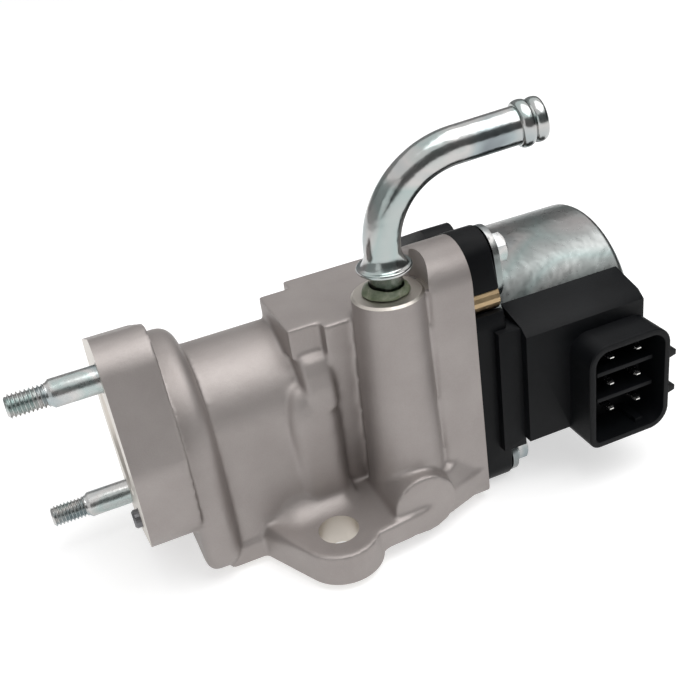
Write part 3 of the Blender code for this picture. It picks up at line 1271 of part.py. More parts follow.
def motor_parts(copper, magnet, steel):
    outer = CAN_RADIUS - CAN_WALL - FIT_GAP
    middle = 0.5 * (STATOR_START_X + STATOR_END_X)
    half = STATOR_SLOT_WIDTH * 0.5
    turned_x("stator_coils", [
        (STATOR_START_X, STATOR_BORE_RADIUS),
        (STATOR_START_X, outer),
        (middle - half, outer),
        (middle - half, STATOR_SLOT_RADIUS),
        (middle + half, STATOR_SLOT_RADIUS),
        (middle + half, outer),
        (STATOR_END_X, outer),
        (STATOR_END_X, STATOR_BORE_RADIUS),
    ], 0.0, 0.0, ROUND_STEPS, copper, ring=True)
    front = BEARING_FRONT_X
    rear_end = CAN_END_X + CAN_CUP_HEIGHT - CAN_WALL - FIT_GAP
    turned_x("motor_rotor", [
        (front, ROTOR_BORE_RADIUS),
        (front, ROTOR_JOURNAL_RADIUS),
        (ROTOR_START_X, ROTOR_JOURNAL_RADIUS),
        (ROTOR_START_X, ROTOR_RADIUS),
        (ROTOR_END_X, ROTOR_RADIUS),
        (ROTOR_END_X, ROTOR_JOURNAL_RADIUS),
        (rear_end, ROTOR_JOURNAL_RADIUS),
        (rear_end, ROTOR_BORE_RADIUS),
    ], 0.0, 0.0, SMALL_STEPS, magnet, ring=True)
    for label, start in (("front", BEARING_FRONT_X), ("rear", rear_end - BEARING_THICKNESS)):
        sleeve("rotor_bearing_" + label, start, start + BEARING_THICKNESS,
               ROTOR_JOURNAL_RADIUS + FIT_GAP, BEARING_RADIUS, 0.0, 0.0, SMALL_STEPS, steel)
    turned_x("lead_screw", [
        (LEAD_SCREW_START_X, LEAD_SCREW_RADIUS - STUD_CHAMFER),
        (LEAD_SCREW_START_X + STUD_CHAMFER, LEAD_SCREW_RADIUS),
        (LEAD_SCREW_END_X, LEAD_SCREW_RADIUS),
    ], 0.0, 0.0, SMALL_STEPS, steel)


def shade_pieces():
    for item in bpy.data.objects:
        if item.type == "MESH":
            item.data.shade_smooth()
            item.data.set_sharp_from_angle(angle=math.radians(SHARP_ANGLE_DEG))


def build():
    clear_scene()
    cast = make_material("cast_aluminium", (0.46, 0.42, 0.40), 0.55, 0.85)
    zinc = make_material("bright_zinc", (0.72, 0.73, 0.74), 0.22, 1.0)
    steel = make_material("steel", (0.50, 0.50, 0.52), 0.35, 1.0)
    dark = make_material("dark_steel", (0.05, 0.05, 0.055), 0.40, 0.6)
    plastic = make_material("black_plastic", (0.018, 0.019, 0.021), 0.45, 0.0)
    brass = make_material("brass", (0.55, 0.42, 0.25), 0.35, 1.0)
    bronze = make_material("bronze", (0.50, 0.34, 0.20), 0.40, 1.0)
    rubber = make_material("seal_rubber", (0.02, 0.02, 0.02), 0.70, 0.0)
    green = make_material("green_sealant", (0.16, 0.26, 0.10), 0.45, 0.0)
    copper = make_material("coil_stack", (0.40, 0.24, 0.14), 0.45, 0.6)
    magnet = make_material("magnet", (0.06, 0.06, 0.07), 0.50, 0.3)
    contact = make_material("tinned_contact", (0.75, 0.74, 0.70), 0.25, 1.0)

    valve_body(cast)
    stud("upper_stud", 1.0, zinc)
    stud("lower_stud", -1.0, zinc)
    dowel(dark)
    coolant_pipe(zinc)
    sealant(green)
    seat_ring(steel)
    pintle(steel)
    guide_parts(bronze, rubber)
    return_spring(steel)
    spring_retainer(steel)
    seal_ring(rubber)
    actuator_housing(plastic)
    connector_pins(contact)
    mounting_hardware(brass, zinc)
    motor_can(zinc)
    motor_parts(copper, magnet, steel)
    shade_pieces()


build()
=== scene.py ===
"""Looks of the exhaust gas recirculation valve: casting, plated parts, housing, light, camera."""
import math

import bmesh
import bpy
from mathutils import Matrix, Vector
from mathutils import noise as noise_at

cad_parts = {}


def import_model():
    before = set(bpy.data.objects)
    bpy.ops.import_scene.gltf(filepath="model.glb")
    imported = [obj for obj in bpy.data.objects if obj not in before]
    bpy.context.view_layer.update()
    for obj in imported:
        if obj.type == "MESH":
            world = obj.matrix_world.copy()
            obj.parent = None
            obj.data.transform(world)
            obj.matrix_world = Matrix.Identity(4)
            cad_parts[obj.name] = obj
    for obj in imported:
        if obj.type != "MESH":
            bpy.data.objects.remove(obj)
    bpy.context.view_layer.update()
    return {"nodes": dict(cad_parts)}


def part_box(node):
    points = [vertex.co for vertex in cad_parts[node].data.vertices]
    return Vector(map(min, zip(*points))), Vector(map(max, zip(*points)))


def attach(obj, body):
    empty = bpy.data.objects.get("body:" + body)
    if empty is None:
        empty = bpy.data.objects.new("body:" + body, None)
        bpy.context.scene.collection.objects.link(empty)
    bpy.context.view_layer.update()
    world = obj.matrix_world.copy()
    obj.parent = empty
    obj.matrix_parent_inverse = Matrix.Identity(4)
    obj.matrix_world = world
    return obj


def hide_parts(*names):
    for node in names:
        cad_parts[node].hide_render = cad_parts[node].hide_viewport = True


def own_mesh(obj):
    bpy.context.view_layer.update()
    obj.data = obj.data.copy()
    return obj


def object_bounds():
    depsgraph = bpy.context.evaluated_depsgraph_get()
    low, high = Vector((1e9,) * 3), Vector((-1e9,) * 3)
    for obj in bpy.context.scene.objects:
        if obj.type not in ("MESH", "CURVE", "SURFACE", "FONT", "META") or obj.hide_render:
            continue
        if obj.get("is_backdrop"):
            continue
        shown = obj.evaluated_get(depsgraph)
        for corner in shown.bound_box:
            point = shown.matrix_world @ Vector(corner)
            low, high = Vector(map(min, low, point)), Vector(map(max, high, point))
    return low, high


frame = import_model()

# Shared fineness
FINE_STEPS = 96
MEDIUM_STEPS = 64
OUTLINE_STEPS = 160
ROUNDING_STEPS = 8
ARC_STEPS = 10
MIN_RADIUS = 0.0002
CUT_OVERRUN = 0.004
TOOL_REACH = 0.2
GAP = 0.0003
FLAT_TOLERANCE = 0.00002
HOLE_TOLERANCE = FLAT_TOLERANCE * 5.0
WELD_DISTANCE = 0.000002
WELD_ANGLE_DEG = 1.0
HOUSING_BEVEL = 0.00035
BEVEL_SEGMENTS = 3

# Angles above which an edge is shaded sharp or gets a bevel
SHARP_DEG = 32.0
CAST_SHARP_DEG = 38.0
THREAD_SHARP_DEG = 50.0
ROUND_SHARP_DEG = 60.0
CAN_SHARP_DEG = 40.0
SCREW_SHARP_DEG = 35.0
HOUSING_SHARP_DEG = 40.0
HOUSING_BEVEL_DEG = 30.0

# Casting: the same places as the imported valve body, read from its box where they show there
BODY_LOW, BODY_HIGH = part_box("valve_body")
BASE_Z = BODY_LOW.z
PLATE_END_X = BODY_HIGH.x
VOXEL = 0.00062
CAST_SMOOTH_STEPS = 9
CAST_SMOOTH_FACTOR = 0.5
CAST_FACE_TARGET = 180000
MACHINING_STOCK = 0.0030

FLANGE_THICKNESS = 0.0137
STUD_Y = -0.0131
STUD_Z = 0.0263
FLANGE_CIRCLES = (
    (STUD_Y, STUD_Z, 0.0098),
    (-0.0178, 0.0040, 0.0125),
    (-0.0160, -0.0100, 0.0120),
)
COLLAR_END_X = 0.0225
COLLAR_RADIUS = 0.0252
COLLAR_ROUND = 0.0045
COLLAR_FRONT_ROUND = 0.0030
COLLAR_FRONT_INSET = 0.0034
COLLAR_FRONT_SHARE = 0.4
COLLAR_FOOT_HALF_WIDTH = 0.0262
COLLAR_FOOT_RADIUS = 0.0078

BARREL_RADIUS = 0.0192
BARREL_FOOT_HALF_WIDTH = 0.0218
BARREL_STEP_X = 0.0490
WAIST_RADIUS = 0.0178
WAIST_END_X = 0.0550
REAR_BARREL_RADIUS = 0.0172
REAR_BARREL_FOOT_HALF_WIDTH = 0.0165
COLUMN_CIRCLES = ((0.0470, -0.0172, 0.0056), (0.0518, -0.0182, 0.0046))
COLUMN_SHOULDER_Z = -0.0030
COLUMN_TOP_Z = 0.0092
COLUMN_TOP_INSET = 0.0052
PILLAR_CIRCLES = ((0.0500, 0.0022), (0.0541, 0.0024))
PILLAR_SLOPE = (
    (0.0170, -0.0176),
    (0.0155, -0.0192),
    (0.0125, -0.0207),
    (0.0080, -0.0219),
    (0.0020, -0.0226),
)
PAD_START_X = 0.0470
PAD_TOP_Z = 0.0250
PAD_BLOCK_END_X = 0.0560
PAD_NEAR_Y = -0.0168
PAD_REAR_NEAR_Y = -0.0203
PAD_FAR_Y = 0.0066
PAD_REAR_FAR_Y = 0.0113
PAD_BLOCK_BOTTOM_Z = 0.0165
PAD_REAR_FOOT_Y = -0.0170

BASE_THICKNESS = 0.0090
MID_BASE_Z = BASE_Z + BASE_THICKNESS * 0.5
BASE_RECESS = 0.0020
STRIP_START_X = 0.0190
BASE_START_X = 0.0275
BASE_HALF_WIDTH = 0.0218
BASE_CORNER_RADIUS = 0.0020
CORNER_SINK_X = 0.0020
CORNER_SINK_SHARE = 0.95
MOUNTING_FACE_START_X = 0.0380
MOUNTING_FACE_HALF_WIDTH = 0.0250
EAR_RADIUS = 0.0112
EAR_WEB_RADIUS = 0.0076
EAR_HOLE_RADIUS = 0.0054
NEAR_EAR = (0.0468, -0.0336)
FAR_EAR = (0.0600, 0.0336)

BOSS_X = 0.0725
BOSS_Y = -0.0235
BOSS_TOP_Z = 0.0313
BOSS_TOP_RADIUS = 0.0093
BOSS_FOOT_RADIUS = 0.0109
BOSS_WEB_BACK = 0.0060
BOSS_WEB_NEAR = 0.0058
SPOT_FACE_RADIUS = 0.0104
SPOT_FACE_HEIGHT = 0.0140
SPOT_FACE_NORMAL = 0.5
BOSS_CHAMFER = 0.0006
PLUG_X = 0.0706
PLUG_Z = -0.0264
PLUG_RADIUS = 0.0090
PLUG_NEAR_Y = -0.0380

# Ramps from the barrel to the bolt ears, heel and lobe by the plug, ledge under the collar
RAMP_RADIUS = 0.0085
RAMP_SIDE_Y = 0.0205
RAMP_END_X = 0.0570
RAMP_FULL_SHARE = 0.75
RAMP_ROOT_SHARE = 0.5
RAMP_FADE_SHARE = 0.5
RAMP_END_SHARE = 0.35
RAMP_LEAST_SHARE = 0.12
RAMP_PLACES = 14
HEEL_HEIGHT = 0.0056
HEEL_REACH = 0.0024
HEEL_RADIUS = 0.0050
LOBE = (0.0685, -0.0322, 0.0072)
FOOT_END_X = 0.0315
FOOT_HALF_WIDTH = 0.0229
FOOT_TOP_Z = -0.0304

# Actuator plate and the screws in it
PLATE_START_X = 0.0815
PLATE_CORNER = (-0.0195, 0.0283, 0.0105)
PLATE_ROUND_RADIUS = 0.0265
PLATE_FOOT_HALF_WIDTH = 0.0299
REAR_EAR = (0.0330, 0.0020, 0.0082)
SCREWS = {
    "upper": (-0.0155, 0.0295),
    "lower": (-0.0215, -0.0315),
    "rear": (0.0330, 0.0020),
}
SCREW_HOLE_RADIUS = 0.0025
SCREW_HOLE_DEPTH = 0.0088

# Bores in the casting
INLET_BORE_RADIUS = 0.0140
INLET_BORE_END_X = 0.0360
INLET_CHAMFER = 0.0015
LEDGE_RADIUS = 0.0110
LEDGE_THICKNESS = 0.0020
CHAMBER_RADIUS = 0.0125
CHAMBER_END_X = 0.0620
OUTLET_BORE_X = 0.0520
OUTLET_BORE_RADIUS = 0.0115
OUTLET_BORE_TOP_Z = -0.0030
GUIDE_WALL_END_X = 0.0760
GUIDE_BORE_RADIUS = 0.0055
SEAL_POCKET_RADIUS = 0.0063
SEAL_POCKET_DEPTH = 0.0030
SPRING_CHAMBER_RADIUS = 0.0135
COOLANT_BORE_RADIUS = 0.0026
PIPE_SEAT_Z = 0.0200
PIPE_NECK_RADIUS = 0.0042
GROOVE_RADIUS = 0.0184
GROOVE_WIDTH = 0.0026
GROOVE_DEPTH = 0.0018
STUD_SHANK_RADIUS = 0.0036
STUD_DEPTH = 0.0117
DOWEL_Y = -0.0085
DOWEL_Z = -0.0205
DOWEL_RADIUS = 0.0026
DOWEL_DEPTH = 0.0050


def linked(name, data):
    item = bpy.data.objects.new(name, data)
    bpy.context.scene.collection.objects.link(item)
    return item


def new_object(name, points, faces):
    mesh = bpy.data.meshes.new(name)
    mesh.from_pydata([tuple(point) for point in points], [], faces)
    work = bmesh.new()
    work.from_mesh(mesh)
    bmesh.ops.recalc_face_normals(work, faces=work.faces)
    work.to_mesh(mesh)
    work.free()
    return linked(name, mesh)


def bridge_rings(rings, closed=False):
    """Quads between rings of equal length, with end caps unless the rings close on themselves."""
    count = len(rings[0])
    points = [point for ring in rings for point in ring]
    faces = []
    spans = len(rings) if closed else len(rings) - 1
    for span in range(spans):
        first = span * count
        second = ((span + 1) % len(rings)) * count
        for index in range(count):
            following = (index + 1) % count
            faces.append((first + index, first + following, second + following, second + index))
    if not closed:
        faces.append(tuple(range(count)))
        faces.append(tuple(range(len(points) - count, len(points))))
    return points, faces


def hull_outline(circles, steps=OUTLINE_STEPS, inset=0.0):
    """The outline of a band round a set of circles (centre, centre, radius)."""
    outline = []
    for step in range(steps):
        angle = 2.0 * math.pi * (step + 0.5) / steps
        along = math.cos(angle)
        across = math.sin(angle)
        best = max(circles, key=lambda disc: disc[0] * along + disc[1] * across + disc[2])
        reach = max(best[2] - inset, MIN_RADIUS)
        outline.append((best[0] + reach * along, best[1] + reach * across))
    return outline


def loft(name, axis, sections):
    """A solid through flat outlines, whose two numbers fill the other axes in order."""
    rings = []
    for place, outline in sections:
        ring = []
        for first, second in outline:
            point = [first, second]
            point.insert("xyz".index(axis), place)
            ring.append(point)
        rings.append(ring)
    return new_object(name, *bridge_rings(rings))


def prism(name, axis, start, end, outline):
    return loft(name, axis, [(start, outline), (end, outline)])


def box(name, low, high):
    outline = [(low[1], low[2]), (high[1], low[2]), (high[1], high[2]), (low[1], high[2])]
    return prism(name, "x", low[0], high[0], outline)


def turned(name, profile, centre, axis, steps=FINE_STEPS, ring=False):
    """A turned solid. The profile is (distance along the axis, radius)."""
    direction = Vector(axis).normalized()
    turn = direction.to_track_quat("Z", "Y").to_matrix()
    start = Vector(centre)
    rings = []
    for along, radius in profile:
        circle = []
        for step in range(steps):
            angle = 2.0 * math.pi * (step + 0.5) / steps
            offset = turn @ Vector((radius * math.cos(angle), radius * math.sin(angle), 0.0))
            circle.append(start + direction * along + offset)
        rings.append(circle)
    return new_object(name, *bridge_rings(rings, closed=ring))


def turned_x(name, profile, y=0.0, z=0.0, steps=FINE_STEPS, ring=False):
    return turned(name, profile, (0.0, y, z), (1.0, 0.0, 0.0), steps, ring)


def turned_z(name, profile, x, y, steps=FINE_STEPS, ring=False):
    return turned(name, profile, (x, y, 0.0), (0.0, 0.0, 1.0), steps, ring)


def drill_x(name, start, end, radius, y=0.0, z=0.0, steps=MEDIUM_STEPS):
    return turned_x(name, [(start, radius), (end, radius)], y, z, steps)


def drill_z(name, start, end, radius, x, y, steps=MEDIUM_STEPS):
    return turned_z(name, [(start, radius), (end, radius)], x, y, steps)


def quarter(steps):
    """Sine and cosine at even steps through a quarter turn."""
    angles = [math.pi * 0.5 * step / steps for step in range(steps + 1)]
    return [(math.sin(angle), math.cos(angle)) for angle in angles]


def rounded(end, radius, rounding, steps=ROUNDING_STEPS):
    """Profile points of a quarter round that closes a turned shape at its end."""
    return [(end - rounding * (1.0 - sine), radius - rounding * (1.0 - cosine))
            for sine, cosine in quarter(steps)]


def bake(item):
    """Apply an object's modifiers to its mesh."""
    graph = bpy.context.evaluated_depsgraph_get()
    shaped = bpy.data.meshes.new_from_object(item.evaluated_get(graph))
    item.modifiers.clear()
    item.data = shaped
    return item


def join_meshes(name, items):
    """One object that holds the meshes of all items, which are removed."""
    work = bmesh.new()
    for item in items:
        work.from_mesh(item.data)
        bpy.data.objects.remove(item, do_unlink=True)
    mesh = bpy.data.meshes.new(name)
    work.to_mesh(mesh)
    work.free()
    return linked(name, mesh)


def combine(item, tool, operation, solver):
    """One boolean step, after which the tool is removed."""
    step = item.modifiers.new("combine", "BOOLEAN")
    step.operation = operation
    step.solver = solver
    step.object = tool
    bake(item)
    bpy.data.objects.remove(tool, do_unlink=True)


def cut(item, tools):
    for tool in tools:
        combine(item, tool, "DIFFERENCE", "MANIFOLD")


def shade(item, angle_deg):
    item.data.shade_smooth()
    item.data.set_sharp_from_angle(angle=math.radians(angle_deg))


def show(item, body, slot, *nodes, materials):
    """Finish a piece: its materials, the CAD nodes that it stands for and its body."""
    item.data.materials.clear()
    for material in materials:
        item.data.materials.append(material)
    if nodes:
        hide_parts(*nodes)
    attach(item, body)


def arch(radius, half_width, foot_radius, foot_z):
    """Circles of a round body on a wide foot, for hull_outline."""
    return [
        (0.0, 0.0, radius),
        (-half_width + foot_radius, foot_z + foot_radius, foot_radius),
        (half_width - foot_radius, foot_z + foot_radius, foot_radius),
    ]


def casting_inlet():
    circles = list(FLANGE_CIRCLES) + [(-y, -z, radius) for y, z, radius in FLANGE_CIRCLES]
    flange = prism("flange", "x", -MACHINING_STOCK, FLANGE_THICKNESS, hull_outline(circles))
    outline = arch(COLLAR_RADIUS, COLLAR_FOOT_HALF_WIDTH, COLLAR_FOOT_RADIUS, BASE_Z)
    front = FLANGE_THICKNESS - COLLAR_FRONT_ROUND * COLLAR_FRONT_SHARE
    sections = []
    for sine, cosine in quarter(ROUNDING_STEPS)[:-1]:
        x = front + COLLAR_FRONT_ROUND * (1.0 - cosine)
        sections.append((x, hull_outline(outline, inset=COLLAR_FRONT_INSET * (1.0 - sine))))
    start = COLLAR_END_X - COLLAR_ROUND
    for sine, cosine in quarter(ROUNDING_STEPS):
        inset = COLLAR_ROUND * (1.0 - cosine)
        sections.append((start + COLLAR_ROUND * sine, hull_outline(outline, inset=inset)))
    return [flange, loft("collar", "x", sections)]


def casting_barrel():
    """Three lengths of barrel, each on its own foot, and the column between them."""
    pieces = []
    for name, start, end, radius, half_width in (
        ("barrel", COLLAR_END_X - COLLAR_ROUND, BARREL_STEP_X, BARREL_RADIUS,
         BARREL_FOOT_HALF_WIDTH),
        ("waist", BARREL_STEP_X - COLLAR_ROUND, WAIST_END_X + GAP, WAIST_RADIUS,
         BARREL_FOOT_HALF_WIDTH),
        ("rear", WAIST_END_X, PLATE_START_X + CUT_OVERRUN, REAR_BARREL_RADIUS,
         REAR_BARREL_FOOT_HALF_WIDTH),
    ):
        outline = hull_outline(arch(radius, half_width, BASE_CORNER_RADIUS, MID_BASE_Z))
        pieces.append(prism(name, "x", start, end, outline))
    return pieces + column()


def column():
    """The column over the outlet, with a sloping shoulder, and the pillar up to the pad's block."""
    circles = list(COLUMN_CIRCLES) + [(x, -y, radius) for x, y, radius in COLUMN_CIRCLES]
    sections = [(MID_BASE_Z, hull_outline(circles))]
    for sine, cosine in quarter(ARC_STEPS):
        z = COLUMN_SHOULDER_Z + (COLUMN_TOP_Z - COLUMN_SHOULDER_Z) * sine
        sections.append((z, hull_outline(circles, inset=COLUMN_TOP_INSET * (1.0 - cosine))))
    slope = []
    for z, near_y in reversed(PILLAR_SLOPE):
        plan = [(x, near_y + radius, radius) for x, radius in PILLAR_CIRCLES]
        plan += [(x, 0.0, radius) for x, radius in PILLAR_CIRCLES]
        slope.append((z, hull_outline(plan)))
    return [loft("column", "z", sections), loft("pillar", "z", slope)]


def casting_pad():
    block = box("pad_block", (PAD_START_X, PAD_NEAR_Y, PAD_BLOCK_BOTTOM_Z),
                (PAD_BLOCK_END_X, PAD_FAR_Y, PAD_TOP_Z))
    top = [
        (PAD_BLOCK_END_X - GAP, PAD_REAR_NEAR_Y),
        (PLATE_START_X + GAP, PAD_REAR_NEAR_Y),
        (PLATE_START_X + GAP, PAD_REAR_FAR_Y),
        (PAD_BLOCK_END_X - GAP, PAD_REAR_FAR_Y),
    ]
    low = [(x, PAD_REAR_FOOT_Y if y < 0.0 else y) for x, y in top]
    rear = loft("pad_rear", "z", [(MID_BASE_Z, low), (PAD_TOP_Z, top)])
    return [block, rear]


def casting_base():
    near = BASE_START_X + BASE_CORNER_RADIUS
    corner_y = BASE_HALF_WIDTH - BASE_CORNER_RADIUS
    corners = [(near, -corner_y, BASE_CORNER_RADIUS), (near, corner_y, BASE_CORNER_RADIUS)]
    sunk = [(x + CORNER_SINK_X, y * CORNER_SINK_SHARE, radius) for x, y, radius in corners]
    circles = [
        (*NEAR_EAR, EAR_WEB_RADIUS),
        LOBE,
        (*FAR_EAR, EAR_WEB_RADIUS),
        (PLATE_END_X - BASE_CORNER_RADIUS, -PLATE_FOOT_HALF_WIDTH, BASE_CORNER_RADIUS),
        (PLATE_END_X - BASE_CORNER_RADIUS, PLATE_FOOT_HALF_WIDTH, BASE_CORNER_RADIUS),
    ]
    top = BASE_Z + BASE_THICKNESS
    stock = BASE_Z - MACHINING_STOCK
    pieces = [
        loft("base", "z", [
            (BASE_Z + BASE_RECESS, hull_outline(corners + circles)),
            (FOOT_TOP_Z, hull_outline(corners + circles)),
            (top, hull_outline(sunk + circles)),
        ]),
        box("strip", (STRIP_START_X, -BASE_HALF_WIDTH, stock),
            (BASE_START_X + EAR_RADIUS, BASE_HALF_WIDTH, top - BASE_RECESS)),
        box("foot", (STRIP_START_X, -FOOT_HALF_WIDTH, stock),
            (FOOT_END_X, FOOT_HALF_WIDTH, FOOT_TOP_Z)),
        box("mounting_face", (MOUNTING_FACE_START_X, -MOUNTING_FACE_HALF_WIDTH, stock),
            (PLATE_END_X - BASE_CORNER_RADIUS, MOUNTING_FACE_HALF_WIDTH, top - BASE_RECESS)),
    ]
    for (x, y), side in ((NEAR_EAR, -1.0), (FAR_EAR, 1.0)):
        ear = [(x, y, EAR_RADIUS), (x, 0.0, EAR_RADIUS)]
        low = hull_outline(ear + [corner for corner in corners if corner[1] * side > 0.0])
        high = hull_outline(ear + [corner for corner in sunk if corner[1] * side > 0.0])
        pieces.append(loft("ear_web", "z", [(stock, low), (FOOT_TOP_Z, low), (top, high)]))
        pieces.append(ear_ramp(x, side, top))
    return pieces + [heel(top)]


def ear_ramp(ear_x, side, top):
    """The hollow fillet from a bolt ear up to the barrel's side. It narrows towards both ends."""
    start = BASE_START_X + BASE_CORNER_RADIUS
    full = ear_x - EAR_RADIUS * RAMP_FULL_SHARE
    end = RAMP_END_X if side < 0.0 else ear_x + EAR_RADIUS
    root_y = RAMP_SIDE_Y * RAMP_ROOT_SHARE * side
    low = top - BASE_RECESS
    sections = []
    for place in range(RAMP_PLACES + 1):
        x = start + (end - start) * place / RAMP_PLACES
        grown = min((x - start) / (full - start), 1.0)
        faded = min((end - x) / (RAMP_RADIUS * RAMP_FADE_SHARE), 1.0)
        share = min(grown, RAMP_END_SHARE + (1.0 - RAMP_END_SHARE) * faded)
        radius = RAMP_RADIUS * max(share, RAMP_LEAST_SHARE)
        outline = [(root_y, low), ((RAMP_SIDE_Y + radius) * side, low)]
        for sine, cosine in quarter(ARC_STEPS):
            across = RAMP_SIDE_Y + radius * (1.0 - sine)
            outline.append((across * side, top + radius * (1.0 - cosine)))
        outline.append((root_y, top + radius))
        sections.append((x, outline))
    return loft("ear_ramp", "x", sections)


def heel(top):
    """The slope from the base's edge to the foot of the plate, behind the plug boss."""
    plate_y = -PLATE_FOOT_HALF_WIDTH - BASE_CORNER_RADIUS + HEEL_RADIUS
    circles = [
        (BOSS_X, PLUG_NEAR_Y - GAP + HEEL_RADIUS, HEEL_RADIUS),
        (PLATE_END_X - HEEL_RADIUS, plate_y, HEEL_RADIUS),
        (BOSS_X, BOSS_Y, HEEL_RADIUS),
    ]
    high = [(x, y + HEEL_REACH, radius) for x, y, radius in circles]
    return loft("heel", "z", [
        (top - BASE_RECESS, hull_outline(circles)),
        (top + GAP, hull_outline(circles)),
        (top + HEEL_HEIGHT, hull_outline(high)),
    ])


def casting_bosses():
    pipe_boss = turned_z("pipe_boss", [
        (MID_BASE_Z, BOSS_FOOT_RADIUS),
        (BOSS_TOP_Z, BOSS_TOP_RADIUS),
        (BOSS_TOP_Z + MACHINING_STOCK, BOSS_TOP_RADIUS),
    ], BOSS_X, BOSS_Y)
    web = box("boss_web", (BOSS_X - BOSS_WEB_BACK, BOSS_Y - BOSS_WEB_NEAR, MID_BASE_Z),
              (PLATE_START_X + GAP, 0.0, PAD_TOP_Z - CUT_OVERRUN))
    plug = turned("plug_boss", [
        (0.0, PLUG_RADIUS),
        (BOSS_Y - PLUG_NEAR_Y + CUT_OVERRUN, PLUG_RADIUS),
    ], (PLUG_X, PLUG_NEAR_Y, PLUG_Z), (0.0, 1.0, 0.0))
    return [pipe_boss, web, plug]


def casting_plate():
    foot_z = BASE_Z + BASE_CORNER_RADIUS
    circles = [
        PLATE_CORNER,
        (0.0, 0.0, PLATE_ROUND_RADIUS),
        REAR_EAR,
        (-PLATE_FOOT_HALF_WIDTH + GAP, foot_z, BASE_CORNER_RADIUS),
        (PLATE_FOOT_HALF_WIDTH - GAP, foot_z, BASE_CORNER_RADIUS),
    ]
    outline = hull_outline(circles)
    return [prism("plate", "x", PLATE_START_X, PLATE_END_X + MACHINING_STOCK, outline)]


def face_tools():
    far = TOOL_REACH
    return [
        box("inlet_face", (-far, -far, -far), (0.0, far, far)),
        box("plate_face", (PLATE_END_X, -far, -far), (far, far, far)),
        box("base_face", (-far, -far, -far), (far, far, BASE_Z)),
    ]


def stem_bore():
    """The stepped bore from the inlet to the motor: port, ledge, chamber, guide, seal, spring."""
    profile = [
        (-CUT_OVERRUN, INLET_BORE_RADIUS + INLET_CHAMFER),
        (0.0, INLET_BORE_RADIUS + INLET_CHAMFER),
    ]
    start = INLET_CHAMFER
    for end, radius in (
        (INLET_BORE_END_X, INLET_BORE_RADIUS),
        (INLET_BORE_END_X + LEDGE_THICKNESS, LEDGE_RADIUS),
        (CHAMBER_END_X, CHAMBER_RADIUS),
        (GUIDE_WALL_END_X - SEAL_POCKET_DEPTH, GUIDE_BORE_RADIUS),
        (GUIDE_WALL_END_X, SEAL_POCKET_RADIUS),
        (PLATE_END_X + CUT_OVERRUN, SPRING_CHAMBER_RADIUS),
    ):
        profile += [(start, radius), (end, radius)]
        start = end
    return turned_x("through", profile)


def port_tools():
    """The outlet, the coolant bore, the seal's groove and the machined top of the pipe boss."""
    groove_inner = GROOVE_RADIUS - GROOVE_WIDTH * 0.5
    groove_outer = GROOVE_RADIUS + GROOVE_WIDTH * 0.5
    groove_floor = PLATE_END_X - GROOVE_DEPTH
    return [
        drill_z("outlet", BASE_Z - CUT_OVERRUN, OUTLET_BORE_TOP_Z, OUTLET_BORE_RADIUS,
                OUTLET_BORE_X, 0.0, FINE_STEPS),
        turned_z("coolant_bore", [
            (BASE_Z - CUT_OVERRUN, COOLANT_BORE_RADIUS),
            (PIPE_SEAT_Z, COOLANT_BORE_RADIUS),
            (PIPE_SEAT_Z, PIPE_NECK_RADIUS + GAP),
            (BOSS_TOP_Z + CUT_OVERRUN, PIPE_NECK_RADIUS + GAP),
        ], BOSS_X, BOSS_Y, MEDIUM_STEPS),
        turned_x("groove", [
            (groove_floor, groove_inner),
            (groove_floor, groove_outer),
            (PLATE_END_X + CUT_OVERRUN, groove_outer),
            (PLATE_END_X + CUT_OVERRUN, groove_inner),
        ], ring=True),
        drill_z("spot_face", BOSS_TOP_Z, BOSS_TOP_Z + SPOT_FACE_HEIGHT, SPOT_FACE_RADIUS,
                BOSS_X, BOSS_Y, FINE_STEPS),
        turned_z("boss_chamfer", [
            (BOSS_TOP_Z - BOSS_CHAMFER, BOSS_TOP_RADIUS),
            (BOSS_TOP_Z + GAP, BOSS_TOP_RADIUS - BOSS_CHAMFER - GAP),
            (BOSS_TOP_Z + GAP, SPOT_FACE_RADIUS),
            (BOSS_TOP_Z - BOSS_CHAMFER, SPOT_FACE_RADIUS),
        ], BOSS_X, BOSS_Y, ring=True),
    ]


def hole_tools():
    """Holes for the dowel, the studs, the screws and the bolts."""
    low = BASE_Z - CUT_OVERRUN
    high = BASE_Z + BASE_THICKNESS + CUT_OVERRUN
    inlet = [(DOWEL_DEPTH, DOWEL_RADIUS, DOWEL_Y, DOWEL_Z)]
    inlet += [(STUD_DEPTH, STUD_SHANK_RADIUS, STUD_Y * sign, STUD_Z * sign) for sign in (1.0, -1.0)]
    return [
        *(drill_x("inlet_hole", -CUT_OVERRUN, depth + GAP, radius + GAP, y, z)
          for depth, radius, y, z in inlet),
        *(drill_x("screw_hole", PLATE_END_X - SCREW_HOLE_DEPTH, PLATE_END_X + CUT_OVERRUN,
                  SCREW_HOLE_RADIUS, y, z) for y, z in SCREWS.values()),
        *(drill_z("ear_hole", low, high, EAR_HOLE_RADIUS, x, y) for x, y in (NEAR_EAR, FAR_EAR)),
    ]


